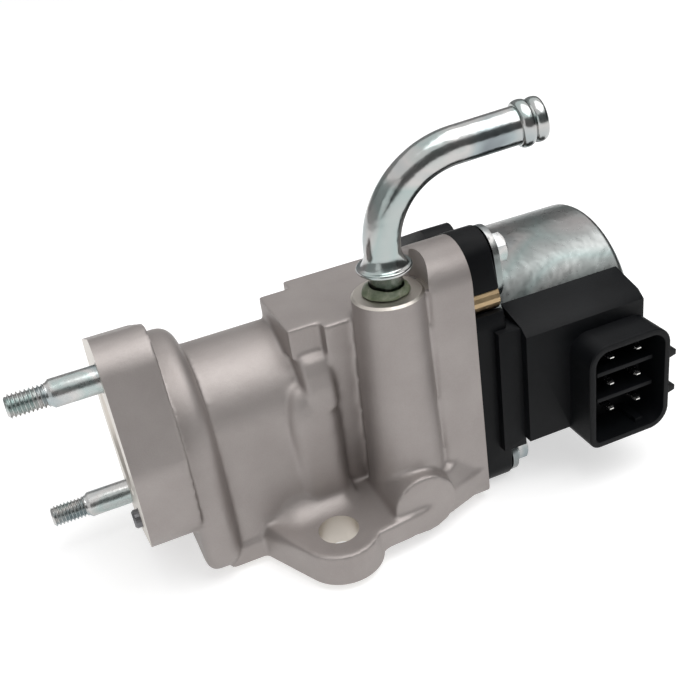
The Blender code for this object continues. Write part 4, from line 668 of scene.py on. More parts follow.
def cast_body(cast, machined):
    """The casting: overlapping shapes melted together, smoothed to cast radii, then machined."""
    shapes = casting_inlet() + casting_barrel() + casting_pad()
    shapes += casting_base() + casting_bosses() + casting_plate()
    body = join_meshes("valve_body_casting", shapes)
    melt = body.modifiers.new("melt", "REMESH")
    melt.mode = "VOXEL"
    melt.voxel_size = VOXEL
    soften = body.modifiers.new("soften", "SMOOTH")
    soften.factor = CAST_SMOOTH_FACTOR
    soften.iterations = CAST_SMOOTH_STEPS
    bake(body)
    triangles = sum(len(face.vertices) - 2 for face in body.data.polygons)
    if triangles > CAST_FACE_TARGET:
        thin = body.modifiers.new("thin", "DECIMATE")
        thin.ratio = CAST_FACE_TARGET / triangles
        bake(body)
    cut(body, face_tools() + [stem_bore()] + port_tools() + hole_tools())
    show(body, "valve", "cast_aluminium", "valve_body", materials=(cast, machined))
    for face in body.data.polygons:
        if is_machined(face, body.data):
            face.material_index = 1
    shade(body, CAST_SHARP_DEG)


def is_machined(face, mesh):
    """Whether a face lies on a machined plane, on the boss's chamfer or in a machined bore."""
    corners = [mesh.vertices[index].co for index in face.vertices]

    def flat(axis, place, tolerance=FLAT_TOLERANCE):
        return all(abs(co[axis] - place) < tolerance for co in corners)

    def round_z(x, y, radius):
        return all(math.hypot(co.x - x, co.y - y) < radius for co in corners)

    planes = ((0, 0.0), (0, PLATE_END_X), (2, BASE_Z), (2, BOSS_TOP_Z))
    if any(flat(axis, place) for axis, place in planes):
        return True
    if round_z(BOSS_X, BOSS_Y, SPOT_FACE_RADIUS) and face.normal.z > SPOT_FACE_NORMAL:
        if flat(2, BOSS_TOP_Z, BOSS_CHAMFER + FLAT_TOLERANCE):
            return True
    within = max(math.hypot(co.y, co.z) for co in corners)
    if within < INLET_BORE_RADIUS + INLET_CHAMFER + FLAT_TOLERANCE:
        if corners[0].x < PLATE_END_X:
            return True
    hole_radius = EAR_HOLE_RADIUS + HOLE_TOLERANCE
    return round_z(*NEAR_EAR, hole_radius) or round_z(*FAR_EAR, hole_radius)


# Studs
THREAD_RADIUS = 0.0030
THREAD_ROOT_RADIUS = 0.00240
THREAD_PITCH = 0.00100
THREAD_STEPS = 40
THREAD_SLICES = 14
THREAD_ROOT_FLAT = 0.08
THREAD_FLANK = 0.80
THREAD_RUNOUT_PITCHES = 0.5
THREAD_RUNOUT_SHARE = 0.985
STUD_LENGTH = 0.0223
STUD_THREAD_LENGTH = 0.0100
STUD_CHAMFER = 0.0007
STUD_EDGE = 0.0002
STUD_EDGE_INSET = STUD_EDGE * 0.3


def thread_depth(turns):
    """Share of the thread depth at a place along the helix: a flat topped triangle."""
    phase = abs((turns % 1.0) * 2.0 - 1.0)
    return min(max((phase - THREAD_ROOT_FLAT) / THREAD_FLANK, 0.0), 1.0)


def thread_radius(along, side):
    """Radius of the thread, with a chamfer at the stud's tip and a runout at its shoulder."""
    depth = thread_depth(along / THREAD_PITCH - side / THREAD_STEPS)
    radius = THREAD_ROOT_RADIUS + (THREAD_RADIUS - THREAD_ROOT_RADIUS) * depth
    if along < STUD_CHAMFER:
        radius = min(radius, THREAD_RADIUS - STUD_CHAMFER + along)
    if STUD_THREAD_LENGTH - along < THREAD_PITCH * THREAD_RUNOUT_PITCHES:
        radius = max(radius, THREAD_RADIUS * THREAD_RUNOUT_SHARE)
    return radius


def stud_ring(x, centre, radii):
    circle = []
    for side, radius in enumerate(radii):
        angle = 2.0 * math.pi * side / THREAD_STEPS
        y = centre.y + radius * math.cos(angle)
        circle.append((x, y, centre.z + radius * math.sin(angle)))
    return circle


def threaded_stud(name, sign, material):
    centre = Vector((0.0, STUD_Y * sign, STUD_Z * sign))
    rings = []
    count = int(STUD_THREAD_LENGTH / THREAD_PITCH) * THREAD_SLICES
    for step in range(count + 1):
        along = STUD_THREAD_LENGTH * step / count
        radii = [thread_radius(along, side) for side in range(THREAD_STEPS)]
        rings.append(stud_ring(-STUD_LENGTH + along, centre, radii))
    shoulder = -STUD_LENGTH + STUD_THREAD_LENGTH
    for x, radius in (
        (shoulder + STUD_CHAMFER, STUD_SHANK_RADIUS - STUD_EDGE_INSET),
        (shoulder + STUD_CHAMFER + STUD_EDGE, STUD_SHANK_RADIUS),
        (STUD_DEPTH, STUD_SHANK_RADIUS),
    ):
        rings.append(stud_ring(x, centre, [radius] * THREAD_STEPS))
    stud = new_object(name + "_threaded", *bridge_rings(rings))
    shade(stud, THREAD_SHARP_DEG)
    show(stud, "valve", "bright_zinc", name, materials=(material,))


# Coolant pipe
PIPE_RADIUS = 0.0047
PIPE_BORE_RADIUS = 0.0024
PIPE_COLLAR_RADIUS = 0.0071
PIPE_COLLAR_START_Z = 0.0376
PIPE_COLLAR_END_Z = 0.0389
PIPE_COLLAR_EDGE = 0.0005
PIPE_COLLAR_STEPS = 6
PIPE_FLARE_END_Z = 0.0424
PIPE_FLARE_REACH = 0.0013
PIPE_FLARE_STEPS = 10
PIPE_BEND_START_Z = 0.0428
PIPE_BEND_RADIUS = 0.0225
PIPE_END = (0.1142, -0.0300, 0.0674)
PIPE_BEAD_RADIUS = 0.0058
PIPE_BEAD_LENGTH = 0.0034
PIPE_BEAD_TO_END = 0.0032
PIPE_LIP_RADIUS = 0.0055
PIPE_LIP_GAP = 0.0002
PIPE_LIP_FOOT_SHARE = 0.98
SWELLING_POWER = 0.7
BEND_MIN_ANGLE = 0.1
BEND_SEARCH_STEPS = 60
PIPE_BEND_STEPS = 48
PIPE_SIDES = 64


def bend_angle(reach, rise):
    """Angle from upright at which a straight run leaves the bend and meets the hose end."""
    low = BEND_MIN_ANGLE
    high = math.pi * 0.5
    for _ in range(BEND_SEARCH_STEPS):
        middle = 0.5 * (low + high)
        across = reach - PIPE_BEND_RADIUS * (1.0 - math.cos(middle))
        up = rise - PIPE_BEND_RADIUS * math.sin(middle)
        if across * math.cos(middle) > up * math.sin(middle):
            low = middle
        else:
            high = middle
    return 0.5 * (low + high)


def half_round(start, end, low, high):
    """Places and radii of a rounded swelling between two places."""
    points = []
    for step in range(ARC_STEPS + 1):
        angle = math.pi * step / ARC_STEPS
        place = 0.5 * (start + end) - 0.5 * (end - start) * math.cos(angle)
        points.append((place, low + (high - low) * math.sin(angle) ** SWELLING_POWER))
    return points


def pipe_stations():
    """Stations of the pipe: centre, direction and outer radius, from the boss to the hose end."""
    foot = Vector((BOSS_X, BOSS_Y, PIPE_SEAT_Z + GAP))
    end = Vector(PIPE_END)
    sideways = Vector((end.x - foot.x, end.y - foot.y, 0.0))
    reach = sideways.length
    sideways.normalize()
    angle = bend_angle(reach, end.z - PIPE_BEND_START_Z)
    up = Vector((0.0, 0.0, 1.0))
    stations = [(Vector((BOSS_X, BOSS_Y, z)), up, radius) for z, radius in collar_profile(foot.z)]
    for step in range(PIPE_BEND_STEPS + 1):
        turn = angle * step / PIPE_BEND_STEPS
        centre = Vector((BOSS_X, BOSS_Y, PIPE_BEND_START_Z + PIPE_BEND_RADIUS * math.sin(turn)))
        centre += sideways * PIPE_BEND_RADIUS * (1.0 - math.cos(turn))
        heading = up * math.cos(turn) + sideways * math.sin(turn)
        stations.append((centre, heading, PIPE_RADIUS))
    heading = stations[-1][1]
    bead = half_round(-PIPE_BEAD_TO_END - PIPE_BEAD_LENGTH, -PIPE_BEAD_TO_END,
                      PIPE_RADIUS, PIPE_BEAD_RADIUS)
    lip = half_round(-PIPE_BEAD_TO_END + PIPE_LIP_GAP, 0.0,
                     PIPE_RADIUS * PIPE_LIP_FOOT_SHARE, PIPE_LIP_RADIUS)
    for along, radius in bead + lip[1:]:
        stations.append((end + heading * along, heading, radius))
    return stations, sideways


def collar_profile(foot_z):
    """Heights and radii of the pipe's foot: neck, thin collar with round edges, and flare."""
    profile = [
        (foot_z, PIPE_NECK_RADIUS),
        (PIPE_COLLAR_START_Z - PIPE_COLLAR_EDGE, PIPE_NECK_RADIUS),
        (PIPE_COLLAR_START_Z, PIPE_NECK_RADIUS + PIPE_COLLAR_EDGE),
    ]
    middle = 0.5 * (PIPE_COLLAR_START_Z + PIPE_COLLAR_END_Z)
    half = 0.5 * (PIPE_COLLAR_END_Z - PIPE_COLLAR_START_Z)
    for step in range(PIPE_COLLAR_STEPS + 1):
        angle = math.pi * (step / PIPE_COLLAR_STEPS - 0.5)
        profile.append((
            middle + half * math.sin(angle),
            PIPE_COLLAR_RADIUS - PIPE_COLLAR_EDGE * (1.0 - math.cos(angle)),
        ))
    for step in range(PIPE_FLARE_STEPS + 1):
        share = step / PIPE_FLARE_STEPS
        profile.append((
            PIPE_COLLAR_END_Z + (PIPE_FLARE_END_Z - PIPE_COLLAR_END_Z) * share,
            PIPE_RADIUS + PIPE_FLARE_REACH * (1.0 - share) ** 2,
        ))
    return profile


def coolant_pipe(material, neck_material):
    stations, sideways = pipe_stations()
    outward = Vector((sideways.y, -sideways.x, 0.0))
    bore = [(centre, heading, PIPE_BORE_RADIUS) for centre, heading, _ in reversed(stations)]
    rings = [pipe_ring(outward, *station) for station in stations + bore]
    pipe = new_object("coolant_pipe_tube", *bridge_rings(rings, closed=True))
    shade(pipe, ROUND_SHARP_DEG)
    # The neck below the collar takes the second material: painted light, near white and barely
    # metallic, that lifts it out of the shade of the collar and sealant
    for face in pipe.data.polygons:
        if face.center.z < PIPE_COLLAR_START_Z - PIPE_COLLAR_EDGE:
            face.material_index = 1
    show(pipe, "valve", "bright_zinc", "coolant_pipe", materials=(material, neck_material))


def pipe_ring(outward, centre, heading, radius):
    side = heading.cross(outward).normalized()
    circle = []
    for step in range(PIPE_SIDES):
        angle = 2.0 * math.pi * step / PIPE_SIDES
        circle.append(centre + outward * radius * math.cos(angle) + side * radius * math.sin(angle))
    return circle


# Motor can
CAN_START_X = 0.1033
CAN_END_X = 0.1453
CAN_RADIUS = 0.0260
CAN_WALL = 0.0008
CAN_ROUND = 0.0022
CAN_RIM_RADIUS = 0.0272
CAN_FLANGE_THICKNESS = 0.0018
CAN_EAR_SETBACK = 0.0004
CAN_CUP_RADIUS = 0.0095
CAN_CUP_HEIGHT = 0.0030
CAN_CUP_ROUND = 0.0012
CAN_CUP_FOOT = 0.0003
CAN_FOOT = ((0.0, 0.0006), (0.0002, 0.0002), (0.0006, 0.0))
CAN_EAR_BEVEL = 0.0003
CAN_ROUND_STEPS = 12
CAN_INNER_STEPS = 6
CAN_EARS = (
    ("upper", 0.0080, (-0.0175, 0.0240, 0.0066)),
    ("lower", 0.0066, (-0.0040, -0.0273, 0.0018)),
    ("rear", 0.0078, (0.0195, 0.0, 0.0066)),
)


def motor_can(material):
    inner = CAN_RADIUS - CAN_WALL
    end = CAN_END_X
    cup_end = end + CAN_CUP_HEIGHT
    flange_end = CAN_START_X + CAN_FLANGE_THICKNESS
    profile = [
        (CAN_START_X, inner),
        (CAN_START_X, CAN_RIM_RADIUS),
        (flange_end, CAN_RIM_RADIUS),
    ]
    profile += [(flange_end + along, CAN_RADIUS + out) for along, out in CAN_FOOT]
    profile += rounded(end, CAN_RADIUS, CAN_ROUND, CAN_ROUND_STEPS)
    profile += [(end, CAN_CUP_RADIUS + CAN_CUP_FOOT)]
    profile += rounded(cup_end, CAN_CUP_RADIUS, CAN_CUP_ROUND)
    profile += [(cup_end, MIN_RADIUS)]
    inside = [(CAN_START_X, inner)]
    inside += rounded(end - CAN_WALL, inner, CAN_ROUND - CAN_WALL, CAN_INNER_STEPS)
    inside += [
        (end - CAN_WALL, CAN_CUP_RADIUS - CAN_WALL),
        (cup_end - CAN_WALL, CAN_CUP_RADIUS - CAN_WALL),
        (cup_end - CAN_WALL, MIN_RADIUS),
    ]
    outline = profile + inside[::-1][:-1]
    shell = turned_x("motor_can_shell", outline, steps=OUTLINE_STEPS, ring=True)
    ears = []
    for label, radius, root in CAN_EARS:
        y, z = SCREWS[label]
        outline = hull_outline([(y, z, radius - CAN_EAR_SETBACK), root], steps=MEDIUM_STEPS)
        ear = prism("ear", "x", CAN_START_X, flange_end, outline)
        start = CAN_START_X - CUT_OVERRUN
        past = flange_end + CUT_OVERRUN
        cut(ear, [
            drill_x("inner", start, past, CAN_RADIUS - CAN_WALL * 0.5, steps=FINE_STEPS),
            drill_x("hole", start, past, SCREW_HOLE_RADIUS, y, z),
        ])
        soft_edges(ear, CAN_EAR_BEVEL)
        ears.append(ear)
    can = join_meshes("motor_can_shell", [shell] + ears)
    shade(can, CAN_SHARP_DEG)
    show(can, "valve", "bright_zinc", "motor_can", materials=(material,))


def soft_edges(item, width, segments=BEVEL_SEGMENTS, angle_deg=SHARP_DEG):
    """Rounded edges wherever two faces meet at a sharp angle."""
    edges = item.modifiers.new("edges", "BEVEL")
    edges.width = width
    edges.segments = segments
    edges.limit_method = "ANGLE"
    edges.angle_limit = math.radians(angle_deg)
    edges.harden_normals = False
    bake(item)


# Hexagon screws
SCREW_TIP_DEPTH = 0.0085
SCREW_TIP_RADIUS = 0.0018
SCREW_CHAMFER_DEPTH = 0.0081
SCREW_RADIUS = 0.0022
WASHER_THICKNESS = 0.0008
WASHER_EDGE = 0.0003
WASHER_RADII = (0.0048, 0.0050, 0.0047)
HEAD_HEIGHT = 0.0036
HEAD_RADIUS = 0.0045
HEAD_SIDES = 6
HEAD_BEVEL = 0.0002
HEAD_BEVEL_SEGMENTS = 2
DOME_RADII = (0.0060, 0.0050, 0.0036)
DOME_HEIGHT = 0.0012


def hex_screw(label, material):
    """A screw with a washer face and a hexagon head with domed corners."""
    y, z = SCREWS[label]
    seat = CAN_START_X + CAN_FLANGE_THICKNESS + GAP
    washer_end = seat + WASHER_THICKNESS
    top = washer_end + HEAD_HEIGHT
    shank = turned_x("shank", [
        (PLATE_END_X - SCREW_TIP_DEPTH, SCREW_TIP_RADIUS),
        (PLATE_END_X - SCREW_CHAMFER_DEPTH, SCREW_RADIUS),
        (seat, SCREW_RADIUS),
        (seat, WASHER_RADII[0]),
        (seat + WASHER_EDGE, WASHER_RADII[1]),
        (washer_end - WASHER_EDGE, WASHER_RADII[1]),
        (washer_end, WASHER_RADII[2]),
        (washer_end, MIN_RADIUS),
    ], y, z, MEDIUM_STEPS)
    head = drill_x("head", seat + WASHER_THICKNESS * 0.5, top, HEAD_RADIUS, y, z, HEAD_SIDES)
    places = (seat, top - DOME_HEIGHT, top)
    dome = turned_x("dome", list(zip(places, DOME_RADII)), y, z, MEDIUM_STEPS)
    combine(head, dome, "INTERSECT", "EXACT")
    soft_edges(head, HEAD_BEVEL, HEAD_BEVEL_SEGMENTS)
    screw = join_meshes("mounting_screw_%s_hex" % label, [shank, head])
    shade(screw, SCREW_SHARP_DEG)
    show(screw, "valve", "bright_zinc", "mounting_screw_" + label, materials=(material,))


def frame_copy(name, node, bevel):
    """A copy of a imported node's mesh with its edges rounded."""
    source = frame["nodes"][node]
    item = linked(name, source.data.copy())
    work = bmesh.new()
    work.from_mesh(item.data)
    bmesh.ops.remove_doubles(work, verts=work.verts, dist=WELD_DISTANCE)
    bmesh.ops.dissolve_limit(work, angle_limit=math.radians(WELD_ANGLE_DEG),
                             verts=work.verts, edges=work.edges)
    work.to_mesh(item.data)
    work.free()
    soft_edges(item, bevel, BEVEL_SEGMENTS, HOUSING_BEVEL_DEG)
    return item


# Materials
DARKER_SHARE = 0.82
# Zinc colours: the blue green is the plating's tint, the dark grey and near white stops are painted
# reflections
ZINC_TINT_AND_REFLECTION_STOPS = (
    (0.26, (0.42, 0.47, 0.50)),
    (0.40, (0.66, 0.75, 0.77)),
    (0.52, (1.00, 0.98, 0.96)),
    (0.62, (0.74, 0.86, 0.84)),
    (0.76, (0.96, 0.91, 0.90)),
)
# Name: tone, size of the clouds of tint and painted reflection, lowest and highest roughness
ZINCS = {
    "clear_zinc": (0.50, 45.0, 0.14, 0.26),
    "can_zinc": (0.36, 24.0, 0.26, 0.36),
    "stud_zinc": (0.56, 80.0, 0.24, 0.34),
}
# Name: colour, lowest and highest roughness, metallic
PLAIN_METALS = {
    # Pipe neck: near white and barely metallic, painted light against the shade under the collar
    "neck_zinc_painted_light": ((0.88, 0.87, 0.84), 0.45, 0.60, 0.15),
    "ground_steel": ((0.50, 0.50, 0.52), 0.24, 0.38, 1.0),
    "dark_steel": ((0.20, 0.20, 0.21), 0.30, 0.42, 0.9),
    "turned_brass": ((0.46, 0.34, 0.20), 0.28, 0.42, 1.0),
    "tinned_contact": ((0.80, 0.79, 0.76), 0.18, 0.30, 1.0),
    "coil_stack": ((0.40, 0.24, 0.14), 0.38, 0.52, 0.6),
    "magnet": ((0.06, 0.06, 0.07), 0.42, 0.56, 0.3),
}


def grey(value):
    return (value, value, value)


def fix(node, values):
    """Set the node's own sockets."""
    for socket, value in values.items():
        node.inputs[socket].default_value = value


def new_material(name, values):
    """A material whose shader has these values all over."""
    material = bpy.data.materials.new(name)
    material.use_nodes = True
    tree = material.node_tree
    shader = tree.nodes["Principled BSDF"]
    fix(shader, values)
    return material, tree, shader


def noise(tree, scale, detail=4.0, roughness=0.55, distortion=0.0):
    place = tree.nodes.new("ShaderNodeTexCoord")
    texture = tree.nodes.new("ShaderNodeTexNoise")
    fix(texture, {"Scale": scale, "Detail": detail, "Roughness": roughness,
                  "Distortion": distortion})
    tree.links.new(place.outputs["Object"], texture.inputs["Vector"])
    return texture.outputs["Fac"]


def ramp(tree, source, socket, *stops):
    """A colour ramp from a value to a socket: stops are (place, colour)."""
    node = tree.nodes.new("ShaderNodeValToRGB")
    elements = node.color_ramp.elements
    while len(elements) < len(stops):
        elements.new(0.5)
    for element, (place, colour) in zip(elements, stops):
        element.position = place
        element.color = (*colour, 1.0)
    tree.links.new(source, node.inputs["Fac"])
    tree.links.new(node.outputs["Color"], socket)


def bump(tree, shader, source, strength, distance, below=None):
    node = tree.nodes.new("ShaderNodeBump")
    fix(node, {"Strength": strength, "Distance": distance})
    tree.links.new(source, node.inputs["Height"])
    if below is not None:
        tree.links.new(below.outputs["Normal"], node.inputs["Normal"])
    tree.links.new(node.outputs["Normal"], shader.inputs["Normal"])
    return node


def cast_aluminium():
    """Shot blasted casting: warm grey, satin, with fine grain and soft large patches."""
    material, tree, shader = new_material("shot_blasted_aluminium", {"Metallic": 0.75})
    patches = noise(tree, scale=60.0, detail=5.0)
    ramp(tree, patches, shader.inputs["Base Color"],
         (0.30, (0.345, 0.313, 0.300)), (0.72, (0.405, 0.371, 0.357)))
    grain = noise(tree, scale=2600.0, detail=3.0, roughness=0.7)
    ramp(tree, grain, shader.inputs["Roughness"], (0.3, grey(0.46)), (0.7, grey(0.58)))
    waves = noise(tree, scale=330.0, detail=3.0)
    under = bump(tree, shader, waves, strength=0.10, distance=0.0006)
    bump(tree, shader, grain, strength=0.28, distance=0.00012, below=under)
    return material


def machined_aluminium():
    """Bright machined faces with fine turning marks."""
    material, tree, shader = new_material("machined_aluminium", {
        "Metallic": 1.0,
        "Base Color": (0.60, 0.56, 0.51, 1.0),
    })
    place = tree.nodes.new("ShaderNodeTexCoord")
    wave = tree.nodes.new("ShaderNodeTexWave")
    wave.wave_type = "RINGS"
    wave.rings_direction = "X"
    fix(wave, {"Scale": 900.0, "Distortion": 0.6})
    tree.links.new(place.outputs["Object"], wave.inputs["Vector"])
    marks = wave.outputs["Fac"]
    ramp(tree, marks, shader.inputs["Roughness"], (0.0, grey(0.34)), (1.0, grey(0.46)))
    bump(tree, shader, marks, strength=0.12, distance=0.00005)
    return material


def bright_zinc(name, tone, scale, low, high):
    """Passivated zinc: glossy, in clouded streaks from dark grey over blue green to pale. The blue
    green is the plating's tint; the dark grey and pale streaks are painted reflections.
    """
    material, tree, shader = new_material(name, {"Metallic": 1.0})
    # Clouds of plating tint and of painted reflection: dark streaks and pale highlights in the base
    # colour
    patches = noise(tree, scale, detail=2.0, roughness=0.4, distortion=0.8)
    stops = [(place, tuple(tone * part for part in colour)) for place, colour in ZINC_TINT_AND_REFLECTION_STOPS]
    ramp(tree, patches, shader.inputs["Base Color"], *stops)
    fine = noise(tree, scale=700.0)
    ramp(tree, fine, shader.inputs["Roughness"], (0.3, grey(low)), (0.75, grey(high)))
    waves = noise(tree, scale=160.0, detail=2.0)
    under = bump(tree, shader, waves, strength=0.22, distance=0.0010)
    bump(tree, shader, fine, strength=0.10, distance=0.00010, below=under)
    return material


def plain_metal(name, colour, low, high, metallic):
    material, tree, shader = new_material(name, {"Metallic": metallic})
    patches = noise(tree, scale=180.0)
    darker = tuple(part * DARKER_SHARE for part in colour)
    ramp(tree, patches, shader.inputs["Base Color"], (0.3, darker), (0.7, colour))
    fine = noise(tree, scale=900.0, detail=3.0)
    ramp(tree, fine, shader.inputs["Roughness"], (0.3, grey(low)), (0.7, grey(high)))
    bump(tree, shader, fine, strength=0.08, distance=0.00008)
    return material


def black_plastic():
    """Moulded glass filled plastic with a fine spark eroded grain."""
    values = {"Specular IOR Level": 0.15}
    material, tree, shader = new_material("moulded_black_plastic", values)
    patches = noise(tree, scale=120.0)
    ramp(tree, patches, shader.inputs["Base Color"],
         (0.3, (0.0016, 0.0020, 0.0028)), (0.7, (0.0034, 0.0040, 0.0050)))
    grain = noise(tree, scale=3200.0, detail=2.0)
    ramp(tree, grain, shader.inputs["Roughness"], (0.3, grey(0.40)), (0.7, grey(0.54)))
    bump(tree, shader, grain, strength=0.20, distance=0.00006)
    return material


def sealant_paste():
    material, tree, shader = new_material("thread_sealant", {"Roughness": 0.42})
    patches = noise(tree, scale=420.0)
    ramp(tree, patches, shader.inputs["Base Color"], (0.35, (0.085, 0.115, 0.060)),
         (0.60, (0.190, 0.215, 0.140)), (0.80, (0.400, 0.390, 0.330)))
    bump(tree, shader, patches, strength=0.5, distance=0.0004)
    return material


def rubber():
    material, tree, shader = new_material("black_rubber", {"Roughness": 0.62})
    fine = noise(tree, scale=1500.0, detail=3.0)
    ramp(tree, fine, shader.inputs["Base Color"], (0.3, grey(0.014)), (0.7, grey(0.026)))
    bump(tree, shader, fine, strength=0.15, distance=0.0001)
    return material


def dress_frame_nodes(materials):
    """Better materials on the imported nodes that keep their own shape."""
    for name, item in frame["nodes"].items():
        if item.hide_render:
            continue
        for key, material in materials.items():
            if any(name.startswith(part) for part in key):
                for place in item.material_slots:
                    place.link = "DATA"
                    place.material = material


# Sealant: heights and radii of its section as shares, then how uneven the smear is
SEALANT_PROFILE_SHARES = (
    (0.0, 0.0), (0.0, 1.0), (0.30, 0.93), (0.48, 0.74), (0.62, 0.52), (0.85, 0.26), (1.0, 0.0),
)
SEALANT_THIN_SIDE = 2.3
SEALANT_SPREAD = 0.86
SEALANT_LUMPS_ROUND = 2.2
SEALANT_LUMPS_UP = 3.0
SEALANT_REACH_SHARES = (0.70, 0.30, 0.16)
SEALANT_RISE_SHARES = (0.62, 0.38, 0.20)


def sealant_ring(material):
    """Uneven smear of sealant round the pipe's neck, thickest at the front right."""
    low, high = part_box("pipe_sealant_ring")
    inner = PIPE_NECK_RADIUS + GAP
    outer = (high.x - low.x) * 0.5 * SEALANT_SPREAD
    reach_base, reach_thin, reach_lump = SEALANT_REACH_SHARES
    rise_base, rise_thin, rise_lump = SEALANT_RISE_SHARES
    rings = []
    for share, reach in SEALANT_PROFILE_SHARES:
        circle = []
        for step in range(FINE_STEPS):
            angle = 2.0 * math.pi * step / FINE_STEPS
            lump = noise_at.noise(Vector((
                math.cos(angle) * SEALANT_LUMPS_ROUND,
                math.sin(angle) * SEALANT_LUMPS_ROUND,
                share * SEALANT_LUMPS_UP,
            )))
            thin = 0.5 - 0.5 * math.cos(angle - SEALANT_THIN_SIDE - math.pi)
            wide = reach_base + reach_thin * thin + reach_lump * lump
            radius = inner + (outer - inner) * reach * wide
            rise = (rise_base + rise_thin * thin) * (1.0 + rise_lump * lump)
            circle.append((
                BOSS_X + radius * math.cos(angle),
                BOSS_Y + radius * math.sin(angle),
                low.z + (high.z - low.z) * share * min(rise, 1.0),
            ))
        rings.append(circle)
    ring = new_object("sealant_bead", *bridge_rings(rings, closed=True))
    shade(ring, ROUND_SHARP_DEG)
    show(ring, "valve", "green_sealant", "pipe_sealant_ring", materials=(material,))


def spring_coil(material):
    """The return spring again, as a piece with its own copy of the mesh."""
    item = frame["nodes"]["return_spring"]
    coil = linked("return_spring_coil", item.data.copy())
    shade(coil, ROUND_SHARP_DEG)
    show(coil, "valve", "steel", "return_spring", materials=(material,))
    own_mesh(coil)


# Camera, floor and light
CAMERA_PLACE = (-0.008375, -0.224871, 0.142542)
CAMERA_RIGHT = (0.915200, -0.381255, -0.130591)
CAMERA_DOWN = (-0.296131, -0.416426, -0.859590)
CAMERA_FORWARD = (0.273341, 0.825369, -0.494015)
CAMERA_LENS = 51.641
CAMERA_CLIP_START = 0.01
SENSOR = 36.0
WHITE = (1.0, 1.0, 1.0, 1.0)
DOME_STRENGTH = 0.88
FLOOR_TONE = 0.62
FLOOR_GLOW = 0.58
FLOOR_HALF_SIZE = 3.0
FLOOR_GAP = 0.0002
STAGE_ROUGHNESS = 0.9
# Name, place, aim, size, watts
LAMPS = (
    ("key", (0.30, -0.20, 0.85), (0.06, 0.0, 0.0), (0.80, 0.80), 4.8),
    ("fill", (-0.60, -0.50, 0.25), (0.03, 0.0, -0.01), (0.5, 0.4), 0.4),
)
# Name, start, end, height, tone
WALLS = (
    ("back", (-1.9, 2.0), (1.9, 2.0), 1.7, 0.58),
    ("left", (-1.9, -1.8), (-1.9, 2.0), 1.5, 0.75),
    ("right", (1.9, -1.8), (1.9, 2.0), 1.5, 0.12),
    ("front", (-1.9, -1.8), (1.9, -1.8), 1.6, 0.24),
)


def camera():
    data = bpy.data.cameras.new("camera")
    data.sensor_width = SENSOR
    data.lens = CAMERA_LENS
    data.clip_start = CAMERA_CLIP_START
    item = linked("camera", data)
    rows = []
    for axis in range(3):
        rows.append([CAMERA_RIGHT[axis], -CAMERA_DOWN[axis],
                     -CAMERA_FORWARD[axis], CAMERA_PLACE[axis]])
    rows.append([0.0, 0.0, 0.0, 1.0])
    item.matrix_world = Matrix(rows)
    bpy.context.scene.camera = item


def area_light(name, place, aim, size, power):
    data = bpy.data.lights.new(name, "AREA")
    data.shape = "RECTANGLE"
    data.size, data.size_y = size
    data.energy = power
    item = linked(name, data)
    item.location = place
    item.rotation_euler = (Vector(aim) - Vector(place)).to_track_quat("-Z", "Y").to_euler()


def background_rays(tree):
    """1 where the camera, a mirror or glass looks, and 0 for light that falls on the object."""
    path = tree.nodes.new("ShaderNodeLightPath")
    value = path.outputs["Is Camera Ray"]
    for name in ("Is Glossy Ray", "Is Transmission Ray"):
        either = tree.nodes.new("ShaderNodeMath")
        either.operation = "MAXIMUM"
        tree.links.new(value, either.inputs[0])
        tree.links.new(path.outputs[name], either.inputs[1])
        value = either.outputs[0]
    return value


def world():
    """A white dome: it lights the part a little dimmer than the camera and shiny metal see it."""
    scene_world = bpy.data.worlds.new("studio")
    bpy.context.scene.world = scene_world
    scene_world.use_nodes = True
    tree = scene_world.node_tree
    background = tree.nodes["Background"]
    fix(background, {"Color": WHITE, "Strength": DOME_STRENGTH})
    white = tree.nodes.new("ShaderNodeBackground")
    fix(white, {"Color": WHITE, "Strength": 1.0})
    mix = tree.nodes.new("ShaderNodeMixShader")
    tree.links.new(background_rays(tree), mix.inputs["Fac"])
    tree.links.new(background.outputs["Background"], mix.inputs[1])
    tree.links.new(white.outputs["Background"], mix.inputs[2])
    tree.links.new(mix.outputs["Shader"], tree.nodes["World Output"].inputs["Surface"])


def stage_paint(name, tone):
    return new_material(name, {
        "Base Color": (*grey(tone), 1.0),
        "Roughness": STAGE_ROUGHNESS,
        "Specular IOR Level": 0.0,
    })


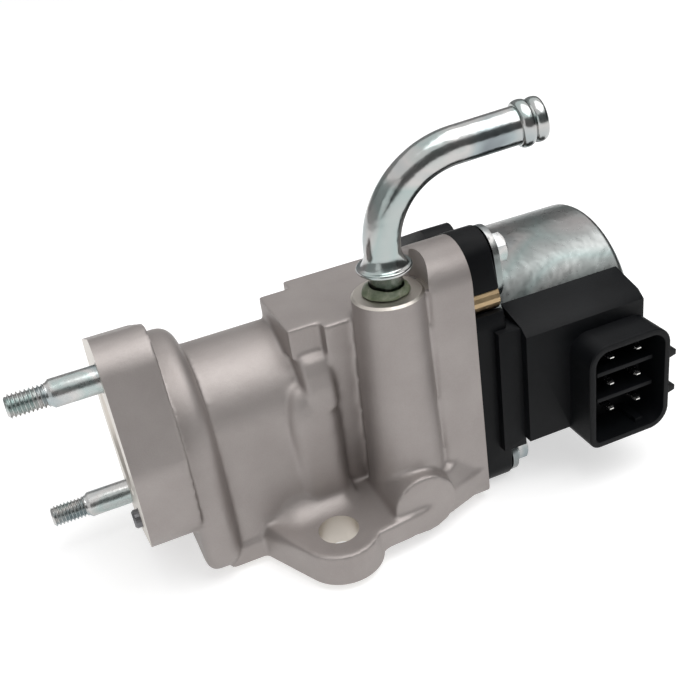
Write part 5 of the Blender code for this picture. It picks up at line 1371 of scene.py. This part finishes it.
def stage_sheet(name, corners, material):
    mesh = bpy.data.meshes.new(name)
    mesh.from_pydata(corners, [], [(0, 1, 2, 3)])
    mesh.materials.append(material)
    item = linked(name, mesh)
    item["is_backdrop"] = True


def floor():
    """A pale floor that keeps the object's shadow and glows for rays that see the background."""
    size = FLOOR_HALF_SIZE
    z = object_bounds()[0][2] - FLOOR_GAP
    material, tree, shader = stage_paint("pale_floor", FLOOR_TONE)
    glow = tree.nodes.new("ShaderNodeMath")
    glow.operation = "MULTIPLY"
    glow.inputs[1].default_value = FLOOR_GLOW
    tree.links.new(background_rays(tree), glow.inputs[0])
    fix(shader, {"Emission Color": WHITE})
    tree.links.new(glow.outputs[0], shader.inputs["Emission Strength"])
    corners = [(-size, -size, z), (size, -size, z), (size, size, z), (-size, size, z)]
    stage_sheet("floor", corners, material)
    return z


def walls(z):
    """Grey studio walls outside the picture. They give the metal something darker to mirror."""
    for name, start, end, height, tone in WALLS:
        material = stage_paint("studio_grey_" + name, tone)[0]
        corners = [(*start, z), (*end, z), (*end, z + height), (*start, z + height)]
        stage_sheet("wall_" + name, corners, material)


def main():
    cast = cast_aluminium()
    machined = machined_aluminium()
    zinc = {name: bright_zinc(name, *look) for name, look in ZINCS.items()}
    metal = {name: plain_metal(name, *look) for name, look in PLAIN_METALS.items()}
    plastic = black_plastic()
    seal = rubber()
    cast_body(cast, machined)
    threaded_stud("upper_stud", 1.0, zinc["stud_zinc"])
    threaded_stud("lower_stud", -1.0, zinc["stud_zinc"])
    coolant_pipe(zinc["clear_zinc"], metal["neck_zinc_painted_light"])
    motor_can(zinc["can_zinc"])
    for label in SCREWS:
        hex_screw(label, zinc["stud_zinc"])
    sealant_ring(sealant_paste())
    spring_coil(metal["ground_steel"])
    housing = frame_copy("actuator_housing_moulded", "actuator_housing", HOUSING_BEVEL)
    shade(housing, HOUSING_SHARP_DEG)
    show(housing, "valve", "black_plastic", "actuator_housing", materials=(plastic,))
    dress_frame_nodes({
        ("connector_pin",): metal["tinned_contact"],
        ("mounting_bush", "locating_sleeve", "stem_guide_bush"): metal["turned_brass"],
        ("actuator_seal_ring", "stem_seal"): seal,
        ("inlet_dowel_pin",): metal["dark_steel"],
        ("stator_coils",): metal["coil_stack"],
        ("motor_rotor",): metal["magnet"],
        ("valve_seat_ring", "valve_pintle", "spring_retainer", "lead_screw",
         "rotor_bearing"): metal["ground_steel"],
    })
    walls(floor())
    world()
    camera()
    for lamp in LAMPS:
        area_light(*lamp)
    bpy.context.scene.view_settings.view_transform = "Standard"


main()
